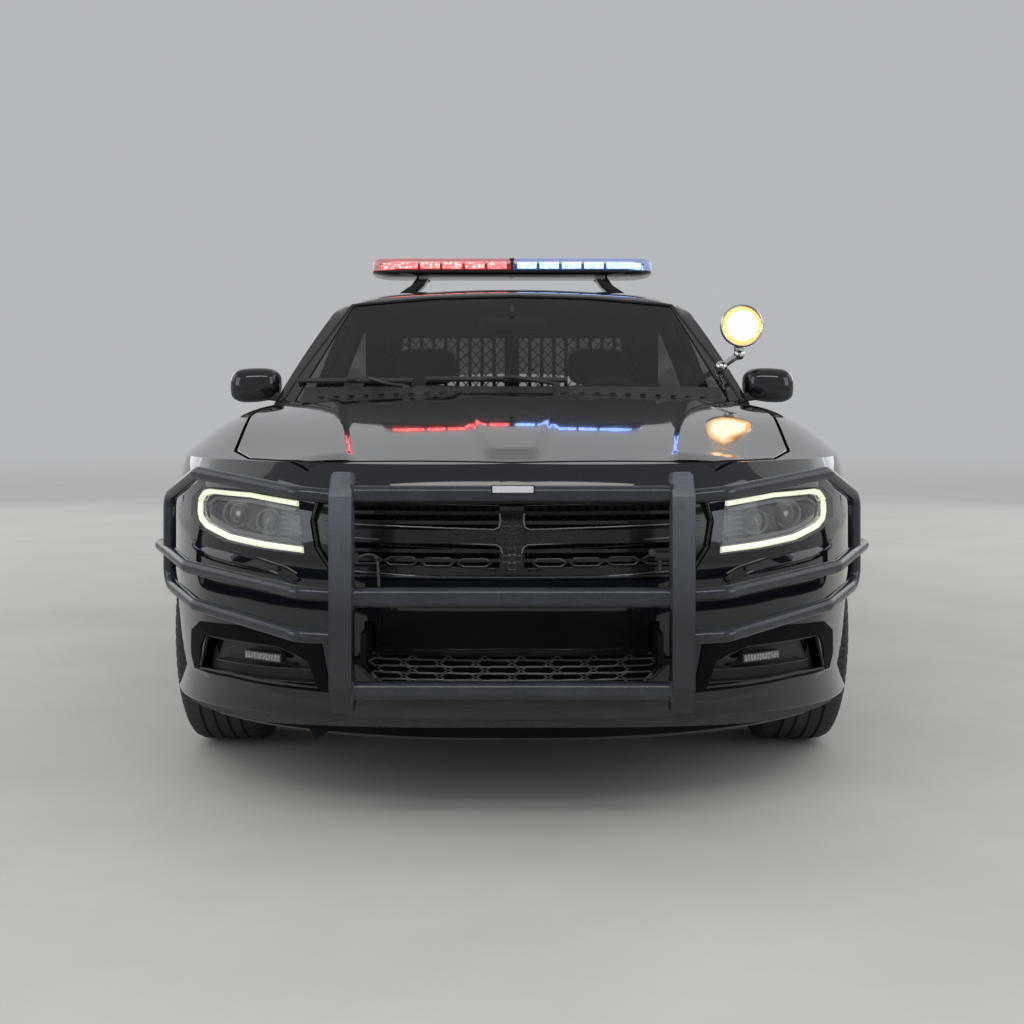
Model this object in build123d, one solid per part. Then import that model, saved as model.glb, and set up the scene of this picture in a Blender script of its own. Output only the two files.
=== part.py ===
from build123d import *
import math
import os

# A four-door patrol saloon with a wrap-round push bumper, a roof light bar and a spotlight.
# Millimetres. +Z is up, the nose points to -Y and the driver's side is +X. The ground is Z = 0,
# and the origin lies midway between the front of the push bumper and the tail.

# Overall sizes
BODY_LENGTH = 5040.0
GUARD_REACH = 118.0
WHEELBASE = 3052.0
FRONT_OVERHANG = 950.0
TRACK = 1610.0
GUARD_FRONT_Y = -(BODY_LENGTH + GUARD_REACH) / 2
NOSE_Y = GUARD_FRONT_Y + GUARD_REACH
TAIL_Y = NOSE_Y + BODY_LENGTH
FRONT_AXLE_Y = NOSE_Y + FRONT_OVERHANG
REAR_AXLE_Y = FRONT_AXLE_Y + WHEELBASE

# Walls and clearances
SIDE_WALL = 70.0
NOSE_WALL = 45.0
TOP_WALL = 28.0
PILLAR_WALL = 32.0
POST_GAP = 6.0
POST_WALL = 60.0
POST_WIDTH = 90.0
POST_JOIN_Z = 955.0
POST_HEAD_X = 592.0
GLASS_DEPTH = 4.0
GLASS = 5.0
SEAT_GAP = 0.3
SHUT_GAP = 9.0
FIT = 0.05
RECESS = 33.0
LATCH_Z = 700.0
LATCH = 12.0
LATCH_SWING = 8.0

# Wheels and tyres
TYRE_RADIUS = 363.5
TYRE_WIDTH = 225.0
TYRE_SHOULDER = 34.0
RIM_RADIUS = 226.0
RIM_WIDTH = 200.0
RIM_WALL = 14.0
WEB_OUT = 34.0
WEB = 10.0
WEB_HOLES = 10
WEB_HOLE_RADIUS = 21.0
WEB_HOLE_CIRCLE = 142.0
CAP_RADIUS = 66.0
CAP_LENGTH = 34.0
DISC_RADIUS = 165.0
DISC = 26.0
DISC_IN = 25.0
HAT_RADIUS = 76.0
SPINDLE_RADIUS = 30.0
KINGPIN_IN = 62.0
KINGPIN_RADIUS = 12.0
RUNNING_GAP = 6.0
FRONT_ARCH_RADIUS = 402.0
REAR_ARCH_RADIUS = 396.0
LINER_GAP = 16.0
LINER = 4.0
LINER_INNER_X = 478.0

# Doors, bonnet and boot lid
SILL_TOP = 300.0
SILL_BOTTOM = 185.0
FRONT_DOOR_Y = FRONT_AXLE_Y + 645.0
DOOR_SPLIT_Y = FRONT_DOOR_Y + 1124.0
BONNET_FRONT_Y = NOSE_Y + 77.0
BONNET_REAR_Y = FRONT_AXLE_Y + 560.0
COWL_HALF_WIDTH = 795.0
COWL_FRONT_HALF_WIDTH = 740.0
LID_FRONT_Y = TAIL_Y - 870.0
LID_HALF_WIDTH = 620.0
LID_BOTTOM = 800.0
BUFFER_X = 450.0
BUFFER_Y = TAIL_Y - 101.0
BUFFER_RADIUS = 9.0

# Waterlines of the lower body: height, half width at the front axle, at the doors and at the rear axle,
# and how far the outline falls back from the nose and from the tail.
WATERLINES = (
    (SILL_BOTTOM, 902.0, 882.0, 905.0, 118.0, 120.0),
    (300.0, 930.0, 906.0, 928.0, 42.0, 42.0),
    (560.0, 946.0, 930.0, 951.0, 0.0, 0.0),
    (760.0, 938.0, 922.0, 946.0, 30.0, 46.0),
    (940.0, 885.0, 886.0, 918.0, 150.0, 96.0),
    (1130.0, 795.0, 822.0, 835.0, 320.0, 170.0),
)
NOSE_POWER = 2.4
TAIL_POWER = 3.6
NOSE_ANGLES = (0.0, 27.0, 52.0, 72.0, 90.0)
# The tail's first angle lies off the centre line, so that one shallow arc crosses its middle
TAIL_ANGLES = (22.0, 35.0, 52.0, 72.0, 90.0)

# Upper surface of the lower body: station, height of its outer edge, half width and height of the shoulder,
# and height on the centre line.
BODY_EDGE_X = 1000.0
SHOULDER_BULGE = 24.0
TOP_STATIONS = (
    (NOSE_Y - 140.0, 600.0, 640.0, 800.0, 818.0),
    (NOSE_Y + 160.0, 655.0, 640.0, 824.0, 850.0),
    (NOSE_Y + 400.0, 700.0, 690.0, 855.0, 892.0),
    (FRONT_AXLE_Y, 770.0, 772.0, 943.0, 968.0),
    (FRONT_AXLE_Y + 582.0, 850.0, 786.0, 985.0, 1022.0),
    (0.0, 880.0, 850.0, 987.0, 1030.0),
    (REAR_AXLE_Y - 640.0, 900.0, 850.0, 1010.0, 1050.0),
    (REAR_AXLE_Y, 915.0, 800.0, 1050.0, 1088.0),
    (TAIL_Y - 280.0, 905.0, 740.0, 1060.0, 1102.0),
    (TAIL_Y + 120.0, 860.0, 720.0, 1045.0, 1086.0),
)

# Cabin outlines: height, screen centre Y, screen corner Y and half width, half width amidships,
# rear corner half width and Y, and rear centre Y.
CABIN_MIDDLE_Y = 150.0
CABIN = (
    (940.0, -1029.0, -819.0, 853.0, 875.0, 745.0, 1730.0, 1935.0),
    (1215.0, -640.0, -495.0, 742.0, 772.0, 655.0, 1315.0, 1407.0),
    (1490.0, -211.0, -139.0, 598.0, 640.0, 545.0, 870.0, 850.0),
)

# Roof: station, half width and height of the rail, and height on the centre line
RAIL_EDGE_X = 900.0
RAIL_DROP = 230.0
RAIL_BULGE = 34.0
ROOF_STATIONS = (
    (-900.0, 500.0, 1237.0, 1262.0),
    (-345.0, 510.0, 1386.0, 1411.0),
    (0.0, 515.0, 1440.0, 1462.0),
    (300.0, 515.0, 1458.0, 1479.0),
    (700.0, 510.0, 1441.0, 1463.0),
    (1028.0, 490.0, 1384.0, 1408.0),
    (1500.0, 460.0, 1237.0, 1262.0),
)

# Side outlines of the driver's side, as (Y, Z) points
FRONT_DOOR = (
    (FRONT_DOOR_Y, SILL_TOP),
    (DOOR_SPLIT_Y - 3.0, SILL_TOP),
    (DOOR_SPLIT_Y - 5.0, 1408.0),
    (0.0, 1402.0),
    (-235.0, 1374.0),
    (-740.0, 1000.0),
    (FRONT_DOOR_Y, 958.0),
)
FRONT_WINDOW = (
    (-640.0, 1002.0),
    (DOOR_SPLIT_Y - 50.0, 1004.0),
    (DOOR_SPLIT_Y - 52.0, 1372.0),
    (0.0, 1364.0),
    (-212.0, 1341.0),
)
REAR_DOOR = (
    (DOOR_SPLIT_Y + 8.0, SILL_TOP),
    (REAR_AXLE_Y - 429.0, SILL_TOP),
    (REAR_AXLE_Y - 429.0, 400.0),
    (REAR_AXLE_Y - 391.0, 520.0),
    (REAR_AXLE_Y - 326.0, 650.0),
    (REAR_AXLE_Y - 250.0, 790.0),
    (REAR_AXLE_Y - 211.0, 900.0),
    (REAR_AXLE_Y - 196.0, 1030.0),
    (REAR_AXLE_Y - 231.0, 1118.0),
    (REAR_AXLE_Y - 391.0, 1236.0),
    (REAR_AXLE_Y - 641.0, 1345.0),
    (REAR_AXLE_Y - 941.0, 1398.0),
    (DOOR_SPLIT_Y + 12.0, 1408.0),
)
REAR_WINDOW = (
    (DOOR_SPLIT_Y + 56.0, 1006.0),
    (REAR_AXLE_Y - 380.0, 1040.0),
    (REAR_AXLE_Y - 305.0, 1112.0),
    (REAR_AXLE_Y - 421.0, 1200.0),
    (REAR_AXLE_Y - 661.0, 1303.0),
    (REAR_AXLE_Y - 941.0, 1360.0),
    (DOOR_SPLIT_Y + 58.0, 1370.0),
)
# Striker pegs of the doors, as low and high corners in plan
STRIKERS = {
    "front": ((840.0, DOOR_SPLIT_Y - 42.0), (890.0, DOOR_SPLIT_Y - 22.0)),
    "rear": ((868.0, REAR_AXLE_Y - 319.0), (893.0, REAR_AXLE_Y - 279.0)),
}
FENDER_SEAM = (
    (FRONT_AXLE_Y, SILL_BOTTOM),
    (FRONT_AXLE_Y - 392.0, 560.0),
    (FRONT_AXLE_Y - 500.0, 800.0),
    (FRONT_AXLE_Y - 500.0, 1100.0),
)
REAR_SEAM = (
    (REAR_AXLE_Y + 385.0, 480.0),
    (REAR_AXLE_Y + 530.0, 760.0),
    (TAIL_Y + 50.0, 780.0),
)

# Plan outline of the bonnet's right half, as (X, Y) points from the nose to the cowl
BONNET = (
    (0.0, BONNET_FRONT_Y),
    (480.0, BONNET_FRONT_Y + 70.0),
    (640.0, BONNET_FRONT_Y + 195.0),
    (705.0, BONNET_FRONT_Y + 335.0),
    (772.0, FRONT_AXLE_Y),
    (786.0, BONNET_REAR_Y + 20.0),
    (0.0, BONNET_REAR_Y - 70.0),
)

# Front outlines of the right half, as (X, Z) points
HEADLAMP = (
    (500.0, 747.0),
    (632.0, 763.0),
    (778.0, 766.0),
    (819.0, 736.0),
    (817.0, 690.0),
    (781.0, 664.0),
    (705.0, 640.0),
    (599.0, 629.0),
    (482.0, 622.0),
)
GRILLE = ((458.0, 752.0), (470.0, 700.0), (458.0, 640.0), (425.0, 592.0), (385.0, 572.0))
INTAKE = ((356.0, 400.0), (356.0, 370.0), (308.0, 320.0))
FOG_RECESS = (
    (762.0, 398.0),
    (552.0, 400.0),
    (476.0, 372.0),
    (452.0, 306.0),
    (700.0, 312.0),
    (796.0, 302.0),
)
SCREEN = ((812.0, 870.0), (610.0, 1366.0), (300.0, 1391.0), (0.0, 1398.0))
BACKLIGHT = ((596.0, 1112.0), (522.0, 1368.0), (260.0, 1388.0), (0.0, 1392.0))
TAIL_LAMP = ((640.0, 945.0), (860.0, 945.0), (860.0, 845.0), (640.0, 845.0))

# Push bumper
UPRIGHT_X = 374.0
UPRIGHT_WIDTH = 50.0
UPRIGHT_DEPTH = 62.0
UPRIGHT_TOP = 822.0
UPRIGHT_BOTTOM = 288.0
CROSS_BARS = ((773.0, 37.0), (546.0, 44.0), (342.0, 38.0))
CROSS_BAR_IN = 12.0
CROSS_BAR_DEPTH = 40.0
GUARD_TUBE = 16.0
WING_BEND = 46.0

# Light bar and spotlight
BAR_LENGTH = 1176.0
BAR_DEPTH = 300.0
BAR_HEIGHT = 68.0
BAR_BOTTOM = 1533.0
BAR_Y = 240.0
BAR_FOOT_X = 455.0
SPOT_RADIUS = 75.0
SPOT_LENGTH = 105.0
SPOT_STEM = 13.0
SPOT_PLACE = (818.0, -660.0, 1265.0)
SPOT_FOOT = (742.0, -632.0, 1112.0)

# Door mirrors
MIRROR_INNER_X = 832.0
MIRROR_OUTER_X = 1011.0
MIRROR_Y = -665.0
MIRROR_DEPTH = 120.0
MIRROR_LOW = 992.0
MIRROR_HIGH = 1117.0

# Floor, beams and running gear
FLOOR_Z = 218.0
FLOOR = 20.0
PANEL = 16.0
TUNNEL_HALF = 105.0
TUNNEL_TOP = 440.0
TUNNEL_WALL = 14.0
FIREWALL_Y = FRONT_DOOR_Y - 90.0
BULKHEAD_Y = REAR_AXLE_Y - 240.0
BOOT_FLOOR_Z = 440.0
BEAM_INNER_X = 385.0
BEAM_OUTER_X = 435.0
FRONT_BEAM_Z = 430.0
BEAM_HEIGHT = 70.0
BEAM_FRONT_Y = NOSE_Y + 150.0
REAR_BEAM_Z = 400.0
BUMPER_BEAM = 50.0
CROSS_BEAM_Z = 195.0
CROSS_BEAM = 60.0
LOWER_ARM_Z = 200.0
ARM = 26.0
ENGINE_HALF_WIDTH = 300.0
ENGINE_LENGTH = 620.0
ENGINE_HEIGHT = 560.0
GEARBOX_RADIUS = 76.0
GEARBOX_LENGTH = 600.0
RADIATOR_Y = NOSE_Y + 212.0
RADIATOR_HALF_WIDTH = 410.0
RADIATOR = 50.0
SHAFT_RADIUS = 34.0
SHAFT_Z = 340.0
FINAL_DRIVE = 110.0
PIPE_RADIUS = 27.0
PIPE_X = 300.0
PIPE_Z = 168.0
TIP_X = 520.0
TIP_Z = 285.0
TIP_RADIUS = 44.0
TIP_WALL = 5.0
MUFFLER_WIDTH = 200.0
MUFFLER_LENGTH = 340.0
MUFFLER_HEIGHT = 130.0

# Cabin fittings
SEAT_X = 370.0
SEAT_WIDTH = 500.0
SEAT_Y = -80.0
BENCH_Y = 820.0
BENCH_HALF_WIDTH = 630.0
PARTITION_Y = 400.0
PARTITION = 24.0
DASH_FRONT_Y = FIREWALL_Y + PANEL + SEAT_GAP
DASH_REAR_Y = -470.0
WHEEL_PLACE = (SEAT_X, -380.0, 905.0)
WHEEL_RADIUS = 188.0
WHEEL_TUBE = 15.0
WHEEL_TILT = 25.0

SIDE_VIEW = Plane(origin=(0, 0, 0), x_dir=(0, 1, 0), z_dir=(1, 0, 0))
FRONT_VIEW = Plane(origin=(0, 0, 0), x_dir=(1, 0, 0), z_dir=(0, -1, 0))
SIDES = (("left", 1.0), ("right", -1.0))


def block(low, high):
    """A box from its lowest to its highest corner."""
    size = [b - a for a, b in zip(low, high)]
    middle = [(a + b) / 2 for a, b in zip(low, high)]
    return Pos(*middle) * Box(*size)


def outline(points, inset=0.0, radius=0.0):
    """A flat face from its corner points, drawn in by an inset and with its corners rounded."""
    face = make_face(Polyline(*points, close=True))
    if inset:
        face = offset(face, -inset, kind=Kind.INTERSECTION)
    if radius:
        face = fillet(face.vertices(), radius)
    return face


def side_prism(points, low_x, high_x, inset=0.0, radius=0.0):
    """A (Y, Z) outline carried along X."""
    return Pos(low_x, 0, 0) * extrude(SIDE_VIEW * outline(points, inset, radius), high_x - low_x)


def front_prism(points, low_y, high_y, inset=0.0, radius=0.0):
    """An (X, Z) outline carried along Y."""
    return Pos(0, high_y, 0) * extrude(FRONT_VIEW * outline(points, inset, radius), high_y - low_y)


def plan_prism(points, low_z, high_z, inset=0.0, radius=0.0):
    """An (X, Y) outline carried along Z."""
    return Pos(0, 0, low_z) * extrude(outline(points, inset, radius), high_z - low_z)


def both_halves(points):
    """Right-half points followed by their mirror images, so that they close round the centre line."""
    left = [(-x, v) for x, v in reversed(points) if x > 0]
    return [*points, *left]


def flipped(shape, side):
    """The shape as drawn for the driver's side, or its mirror image."""
    return shape if side > 0 else mirror(shape, about=Plane.YZ)


def together(*shapes):
    """All solids of the given shapes, as one shape."""
    solids = [s for shape in shapes for s in shape.solids()]
    return solids[0] if len(solids) == 1 else Compound(children=solids)


def rod(start, end, radius):
    """A round bar from one point to another."""
    way = Vector(*end) - Vector(*start)
    base = Plane(origin=Vector(*start), z_dir=way.normalized())
    return extrude(base * Circle(radius), way.length)


def tube_along(points, bend, radius):
    """A round tube along straight runs joined by bends of one radius."""
    path = FilletPolyline(*points, radius=bend)
    start = Plane(origin=path @ 0, z_dir=path % 0)
    return sweep(start * Circle(radius), path=path)


def corner(half_width, reach, power, angle):
    """A point of a rounded body corner: X, and how far it reaches from the axle line."""
    turn = math.radians(angle)
    return half_width * math.sin(turn) ** (2.0 / power), reach * math.cos(turn) ** (2.0 / power)


def waterline(row, side_inset, end_inset):
    """The closed plan outline of the lower body at one height, in arcs."""
    height, front, middle, rear, nose_back, tail_back = row
    nose = FRONT_AXLE_Y - NOSE_Y - nose_back - end_inset
    tail = TAIL_Y - REAR_AXLE_Y - tail_back - end_inset
    ahead = [corner(front - side_inset, nose, NOSE_POWER, a) for a in NOSE_ANGLES]
    astern = [corner(rear - side_inset, tail, TAIL_POWER, a) for a in TAIL_ANGLES]
    points = [(x, FRONT_AXLE_Y - reach) for x, reach in ahead]
    points.append((middle - side_inset, (FRONT_AXLE_Y + REAR_AXLE_Y) / 2))
    points += [(x, REAR_AXLE_Y + reach) for x, reach in reversed(astern)]
    right = [Vector(x, y, height) for x, y in points]
    left = [Vector(-p.X, p.Y, p.Z) for p in reversed(right)]
    loop = [*right, Vector(0, REAR_AXLE_Y + tail, height), *left]
    arcs = [ThreePointArc(loop[i], loop[i + 1], loop[i + 2]) for i in range(0, len(loop) - 2, 2)]
    return Wire(arcs)


def crown(station, edge_x, edge_z, shoulder_x, shoulder_z, centre_z, bulge, base_z):
    """A closed cross-section with a crowned top, rounded shoulders and straight sides."""
    def at(x, z):
        return Vector(x, station, z)

    def shoulder(side):
        return at(side * ((edge_x + shoulder_x) / 2 + bulge), (edge_z + shoulder_z) / 2 + bulge)

    return Wire([
        Line(at(-edge_x, base_z), at(edge_x, base_z)),
        Line(at(edge_x, base_z), at(edge_x, edge_z)),
        ThreePointArc(at(edge_x, edge_z), shoulder(1), at(shoulder_x, shoulder_z)),
        ThreePointArc(at(shoulder_x, shoulder_z), at(0, centre_z), at(-shoulder_x, shoulder_z)),
        ThreePointArc(at(-shoulder_x, shoulder_z), shoulder(-1), at(-edge_x, edge_z)),
        Line(at(-edge_x, edge_z), at(-edge_x, base_z)),
    ])


def under_top(drop):
    """All that lies below the bonnet, belt and boot surface, lowered by a drop."""
    return Solid.make_loft([
        crown(y, BODY_EDGE_X, edge - drop, x, z - drop, centre - drop, SHOULDER_BULGE, 0.0)
        for y, edge, x, z, centre in TOP_STATIONS
    ])


def lower_body(side_inset=0.0, end_inset=0.0, top_inset=0.0):
    """The body up to the belt, bonnet and boot, drawn in by the given walls."""
    hull = Solid.make_loft([waterline(row, side_inset, end_inset) for row in WATERLINES])
    return hull & under_top(top_inset)


def cabin_outline(row, inset):
    """The closed plan outline of the cabin at one height: screen, side, backlight, side."""
    height, screen, corner_y, corner_x, middle_x, rear_x, rear_y, back = row
    front_y, back_y = corner_y + inset, rear_y - inset
    corner_x, middle_x, rear_x = corner_x - inset, middle_x - inset, rear_x - inset

    def at(x, y):
        return Vector(x, y, height)

    return Wire([
        ThreePointArc(at(-corner_x, front_y), at(0, screen + inset), at(corner_x, front_y)),
        ThreePointArc(at(corner_x, front_y), at(middle_x, CABIN_MIDDLE_Y), at(rear_x, back_y)),
        ThreePointArc(at(rear_x, back_y), at(0, back - inset), at(-rear_x, back_y)),
        ThreePointArc(at(-rear_x, back_y), at(-middle_x, CABIN_MIDDLE_Y), at(-corner_x, front_y)),
    ])


def upper_body(side_inset=0.0, top_inset=0.0):
    """The cabin above the belt, drawn in by the given walls."""
    cabin = Solid.make_loft([cabin_outline(row, side_inset) for row in CABIN])
    sections = []
    for y, x, z, centre in ROOF_STATIONS:
        high, low = z - top_inset, z - RAIL_DROP - top_inset
        sections.append(crown(y, RAIL_EDGE_X, low, x, high, centre - top_inset, RAIL_BULGE, 700.0))
    return cabin & Solid.make_loft(sections)


def wheel_cut(axle_y, radius, inner_x, side):
    """A cylinder round a wheel, from an inner X outwards."""
    outer_x = BODY_EDGE_X + 50.0
    cut = Cylinder(radius, outer_x - inner_x, rotation=(0, 90, 0))
    return Pos(side * (outer_x + inner_x) / 2, axle_y, TYRE_RADIUS) * cut


def centre_posts():
    """The posts between the doors, inside them, from the sill to the roof."""
    low_y, high_y = DOOR_SPLIT_Y - POST_WIDTH / 2, DOOR_SPLIT_Y + POST_WIDTH / 2
    wide = BODY_EDGE_X
    inset = SIDE_WALL + POST_GAP
    inner = lower_body(inset + POST_WALL, inset + POST_WALL, -60.0)
    low = lower_body(inset, inset, 20.0) - inner
    low &= block((-wide, low_y, SILL_BOTTOM), (wide, high_y, POST_JOIN_Z + 7.0))
    feet = lower_body(SIDE_WALL - 10.0, SIDE_WALL, 0.0) - inner
    feet &= block((-wide, low_y, SILL_BOTTOM), (wide, high_y, SILL_TOP - SHUT_GAP))
    inset = PILLAR_WALL + POST_GAP
    high = upper_body(inset, TOP_WALL + POST_GAP) - upper_body(inset + POST_WALL, -80.0)
    head = upper_body(inset, TOP_WALL / 3) - upper_body(inset + 2 * POST_WALL, -80.0)
    head &= block((-POST_HEAD_X, low_y, 1340.0), (POST_HEAD_X, high_y, 1500.0))
    high &= block((-wide, low_y, POST_JOIN_Z - 7.0), (wide, high_y, 1500.0))
    return low + feet + high + head


def striker(place, room=0.0):
    """The peg that a closed door's latch holds, or the slot that it leaves through with some room."""
    (low_x, low_y), (high_x, high_y) = STRIKERS[place]
    if not room:
        return block((low_x, low_y, LATCH_Z), (high_x, high_y, LATCH_Z + LATCH))
    low = (low_x - 2 * SIDE_WALL, low_y - LATCH_SWING, LATCH_Z - room)
    return block(low, (high_x + LATCH_SWING, high_y + LATCH_SWING, LATCH_Z + LATCH + room))


def tyre():
    """A tyre round the X axis: round shoulders, bulged walls and a seat on the rim."""
    half = TYRE_WIDTH / 2
    tread = half - TYRE_SHOULDER
    seat = RIM_RADIUS + SEAT_GAP
    wall = (seat + TYRE_RADIUS) / 2
    bead = RIM_WIDTH / 2
    low = TYRE_RADIUS - TYRE_SHOULDER
    dip = TYRE_SHOULDER * 0.29
    section = [
        Line((-bead, seat), (bead, seat)),
        ThreePointArc((bead, seat), (half, wall), (half - 2.0, low)),
        ThreePointArc((half - 2.0, low), (half - dip, TYRE_RADIUS - dip), (tread, TYRE_RADIUS)),
        Line((tread, TYRE_RADIUS), (-tread, TYRE_RADIUS)),
        ThreePointArc((-tread, TYRE_RADIUS), (-half + dip, TYRE_RADIUS - dip), (-half + 2.0, low)),
        ThreePointArc((-half + 2.0, low), (-half, wall), (-bead, seat)),
    ]
    return revolve(make_face(section), axis=Axis.X)


def wheel():
    """A pressed steel wheel with its brake disc, its outside towards +X, bored to run on a spindle."""
    half = RIM_WIDTH / 2
    barrel_in = RIM_RADIUS - RIM_WALL
    disc_out = -DISC_IN + DISC
    web_end = WEB_OUT + WEB
    cap_end = web_end + CAP_LENGTH
    bore = SPINDLE_RADIUS + FIT
    section = [
        (-half, RIM_RADIUS), (half, RIM_RADIUS), (half, barrel_in), (web_end + 20.0, barrel_in),
        (web_end, barrel_in - 34.0), (web_end, CAP_RADIUS), (cap_end - 8.0, CAP_RADIUS - 6.0),
        (cap_end, CAP_RADIUS - 26.0), (cap_end, 0.0), (web_end, 0.0), (web_end, bore), (-DISC_IN, bore),
        (-DISC_IN, DISC_RADIUS), (disc_out, DISC_RADIUS), (disc_out, HAT_RADIUS), (WEB_OUT, HAT_RADIUS),
        (WEB_OUT, barrel_in - 40.0), (WEB_OUT + 14.0, barrel_in), (-half, barrel_in),
    ]
    body = revolve(make_face(Polyline(*section, close=True)), axis=Axis.X)
    hole = Rot(0, 90, 0) * Cylinder(WEB_HOLE_RADIUS, 4 * WEB)
    for n in range(WEB_HOLES):
        body -= Rot(n * 360.0 / WEB_HOLES, 0, 0) * Pos(WEB_OUT + WEB / 2, 0, WEB_HOLE_CIRCLE) * hole
    return body


def at_wheel(shape, axle_y, side):
    """Puts a shape drawn round the X axis at a wheel's place."""
    return Pos(side * TRACK / 2, axle_y, TYRE_RADIUS) * flipped(shape, side)


def spindle(inner_x, axle_y):
    """The spindle that a wheel runs on, for the driver's side."""
    end = TRACK / 2 + WEB_OUT + WEB - 2.0
    return rod((inner_x, axle_y, TYRE_RADIUS), (end, axle_y, TYRE_RADIUS), SPINDLE_RADIUS)


def knuckle():
    """A front upright on its kingpin, with the spindle, arm and brake caliper, for the driver's side."""
    x, y, z = TRACK / 2 - KINGPIN_IN, FRONT_AXLE_Y, TYRE_RADIUS
    disc_x = TRACK / 2 - DISC_IN
    low, high = LOWER_ARM_Z + ARM + RUNNING_GAP, 500.0
    post = block((x - 26, y - 32, low), (x + 26, y + 32, high))
    hub = rod((x, y, z), (disc_x - RUNNING_GAP, y, z), 56.0)
    arm = block((x - 20, y, 290), (x + 12, y + 125, 312))
    shoe = block((disc_x - 34, y - 192, z - 70), (disc_x + DISC + 26, y - 96, z + 70))
    shoe -= block((disc_x - 5, y - DISC_RADIUS - 5.0, z - 90), (disc_x + DISC + 5, y - 80, z + 90))
    bracket = block((x, y - 150, z - 30), (disc_x - 5, y - 20, z + 30))
    body = post + hub + spindle(x, y) + arm + shoe + bracket
    for pin_z in (low + 15.0, high - 15.0):
        body -= Pos(x, y, pin_z) * Cylinder(KINGPIN_RADIUS + FIT, 30.0)
    return body


def front_suspension():
    """The front cross-beam with lower and upper arms, whose pins carry the knuckles."""
    x, y = TRACK / 2 - KINGPIN_IN, FRONT_AXLE_Y
    arm_top = LOWER_ARM_Z + ARM
    low_z, knuckle_top = CROSS_BEAM_Z + 10.0, 500.0
    high_z = knuckle_top + RUNNING_GAP
    body = block((-BEAM_OUTER_X, y - 70, CROSS_BEAM_Z), (BEAM_OUTER_X, y + 70, CROSS_BEAM_Z + CROSS_BEAM))
    for name, side in SIDES:
        low = block((BEAM_INNER_X, y - 28, LOWER_ARM_Z), (x + 20, y + 28, arm_top))
        low_pin = Pos(x, y, arm_top + 13.0) * Cylinder(KINGPIN_RADIUS, 28.0)
        high_pin = Pos(x, y, knuckle_top - 7.0) * Cylinder(KINGPIN_RADIUS, 28.0)
        high = block((340, y - 22, high_z), (x + 16, y + 22, high_z + 20.0))
        leg = block((340, y - 60, low_z), (372, y + 60, high_z + 20.0))
        mount = block((BEAM_INNER_X, y - 40, low_z), (BEAM_OUTER_X, y + 40, FRONT_BEAM_Z - SEAT_GAP))
        body += flipped(low + low_pin + high_pin + high + leg + mount, side)
    return body


def rear_suspension():
    """The rear cross-beam, final drive, half shafts, arms and hub carriers, in one piece."""
    y, half = REAR_AXLE_Y, FINAL_DRIVE
    centre = block((-half, y - half, 258), (half, y + half + 20, BOOT_FLOOR_Z - 26))
    body = centre + block((-BEAM_OUTER_X, y - 40, 230), (BEAM_OUTER_X, y + 40, 280))
    carrier_x = TRACK / 2 - DISC_IN - RUNNING_GAP
    for name, side in SIDES:
        carrier = block((carrier_x - 60, y - 60, 232), (carrier_x, y + 60, 490))
        low = block((380, y - 30, 235), (carrier_x - 30, y + 30, 262))
        mount = block((BEAM_INNER_X, y - 34, 270), (BEAM_OUTER_X, y + 34, REAR_BEAM_Z - SEAT_GAP))
        body += flipped(spindle(0, y) + carrier + low + mount, side)
    return body


def platform(inside):
    """The floor with its tunnel, firewall, rear bulkhead, boot floor, side beams and bumper beam."""
    low_z = FLOOR_Z - FLOOR
    inner = TUNNEL_TOP - TUNNEL_WALL
    wide = BODY_EDGE_X
    shaft_way = block((-TUNNEL_HALF, FIREWALL_Y - 5, 0), (TUNNEL_HALF, BULKHEAD_Y + 5, inner))
    outer_half = TUNNEL_HALF + TUNNEL_WALL
    tunnel = block((-outer_half, FIREWALL_Y, low_z), (outer_half, BULKHEAD_Y, TUNNEL_TOP))
    pan = inside & block((-wide, FIREWALL_Y, low_z), (wide, BULKHEAD_Y, FLOOR_Z))
    arch_y = REAR_AXLE_Y - REAR_ARCH_RADIUS - LINER_GAP - LINER - SEAT_GAP
    post_half = POST_WIDTH / 2 + SEAT_GAP
    low_y, high_y = DOOR_SPLIT_Y - post_half, DOOR_SPLIT_Y + post_half
    for name, side in SIDES:
        pan -= flipped(block((LINER_INNER_X - LINER - 4.0, arch_y, 0), (wide, BULKHEAD_Y, 300)), side)
        pan -= flipped(block((740, low_y, 0), (wide, high_y, 300)), side)
    firewall = inside & block((-wide, FIREWALL_Y, low_z), (wide, FIREWALL_Y + PANEL, 945))
    bulk_x = LINER_INNER_X - LINER - 4.0
    bulkhead = block((-bulk_x, BULKHEAD_Y - PANEL, low_z), (bulk_x, BULKHEAD_Y, 1010))
    boot = block((-bulk_x, BULKHEAD_Y - PANEL, BOOT_FLOOR_Z), (bulk_x, TAIL_Y - 110, BOOT_FLOOR_Z + PANEL))
    body = (pan + tunnel + firewall + bulkhead + boot) - shaft_way
    low, high, beam_y = FRONT_BEAM_Z, FRONT_BEAM_Z + BEAM_HEIGHT, BEAM_FRONT_Y
    near_x, far_x = BEAM_INNER_X, BEAM_OUTER_X
    for name, side in SIDES:
        front = block((near_x, beam_y, low), (far_x, FIREWALL_Y + 4, high))
        rear = block((near_x, BULKHEAD_Y - 4, REAR_BEAM_Z), (far_x, TAIL_Y - 120, BOOT_FLOOR_Z + 4))
        body += flipped(front + rear, side)
    return body + block((-far_x, beam_y, low - 60), (far_x, beam_y + BUMPER_BEAM, high))


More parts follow.
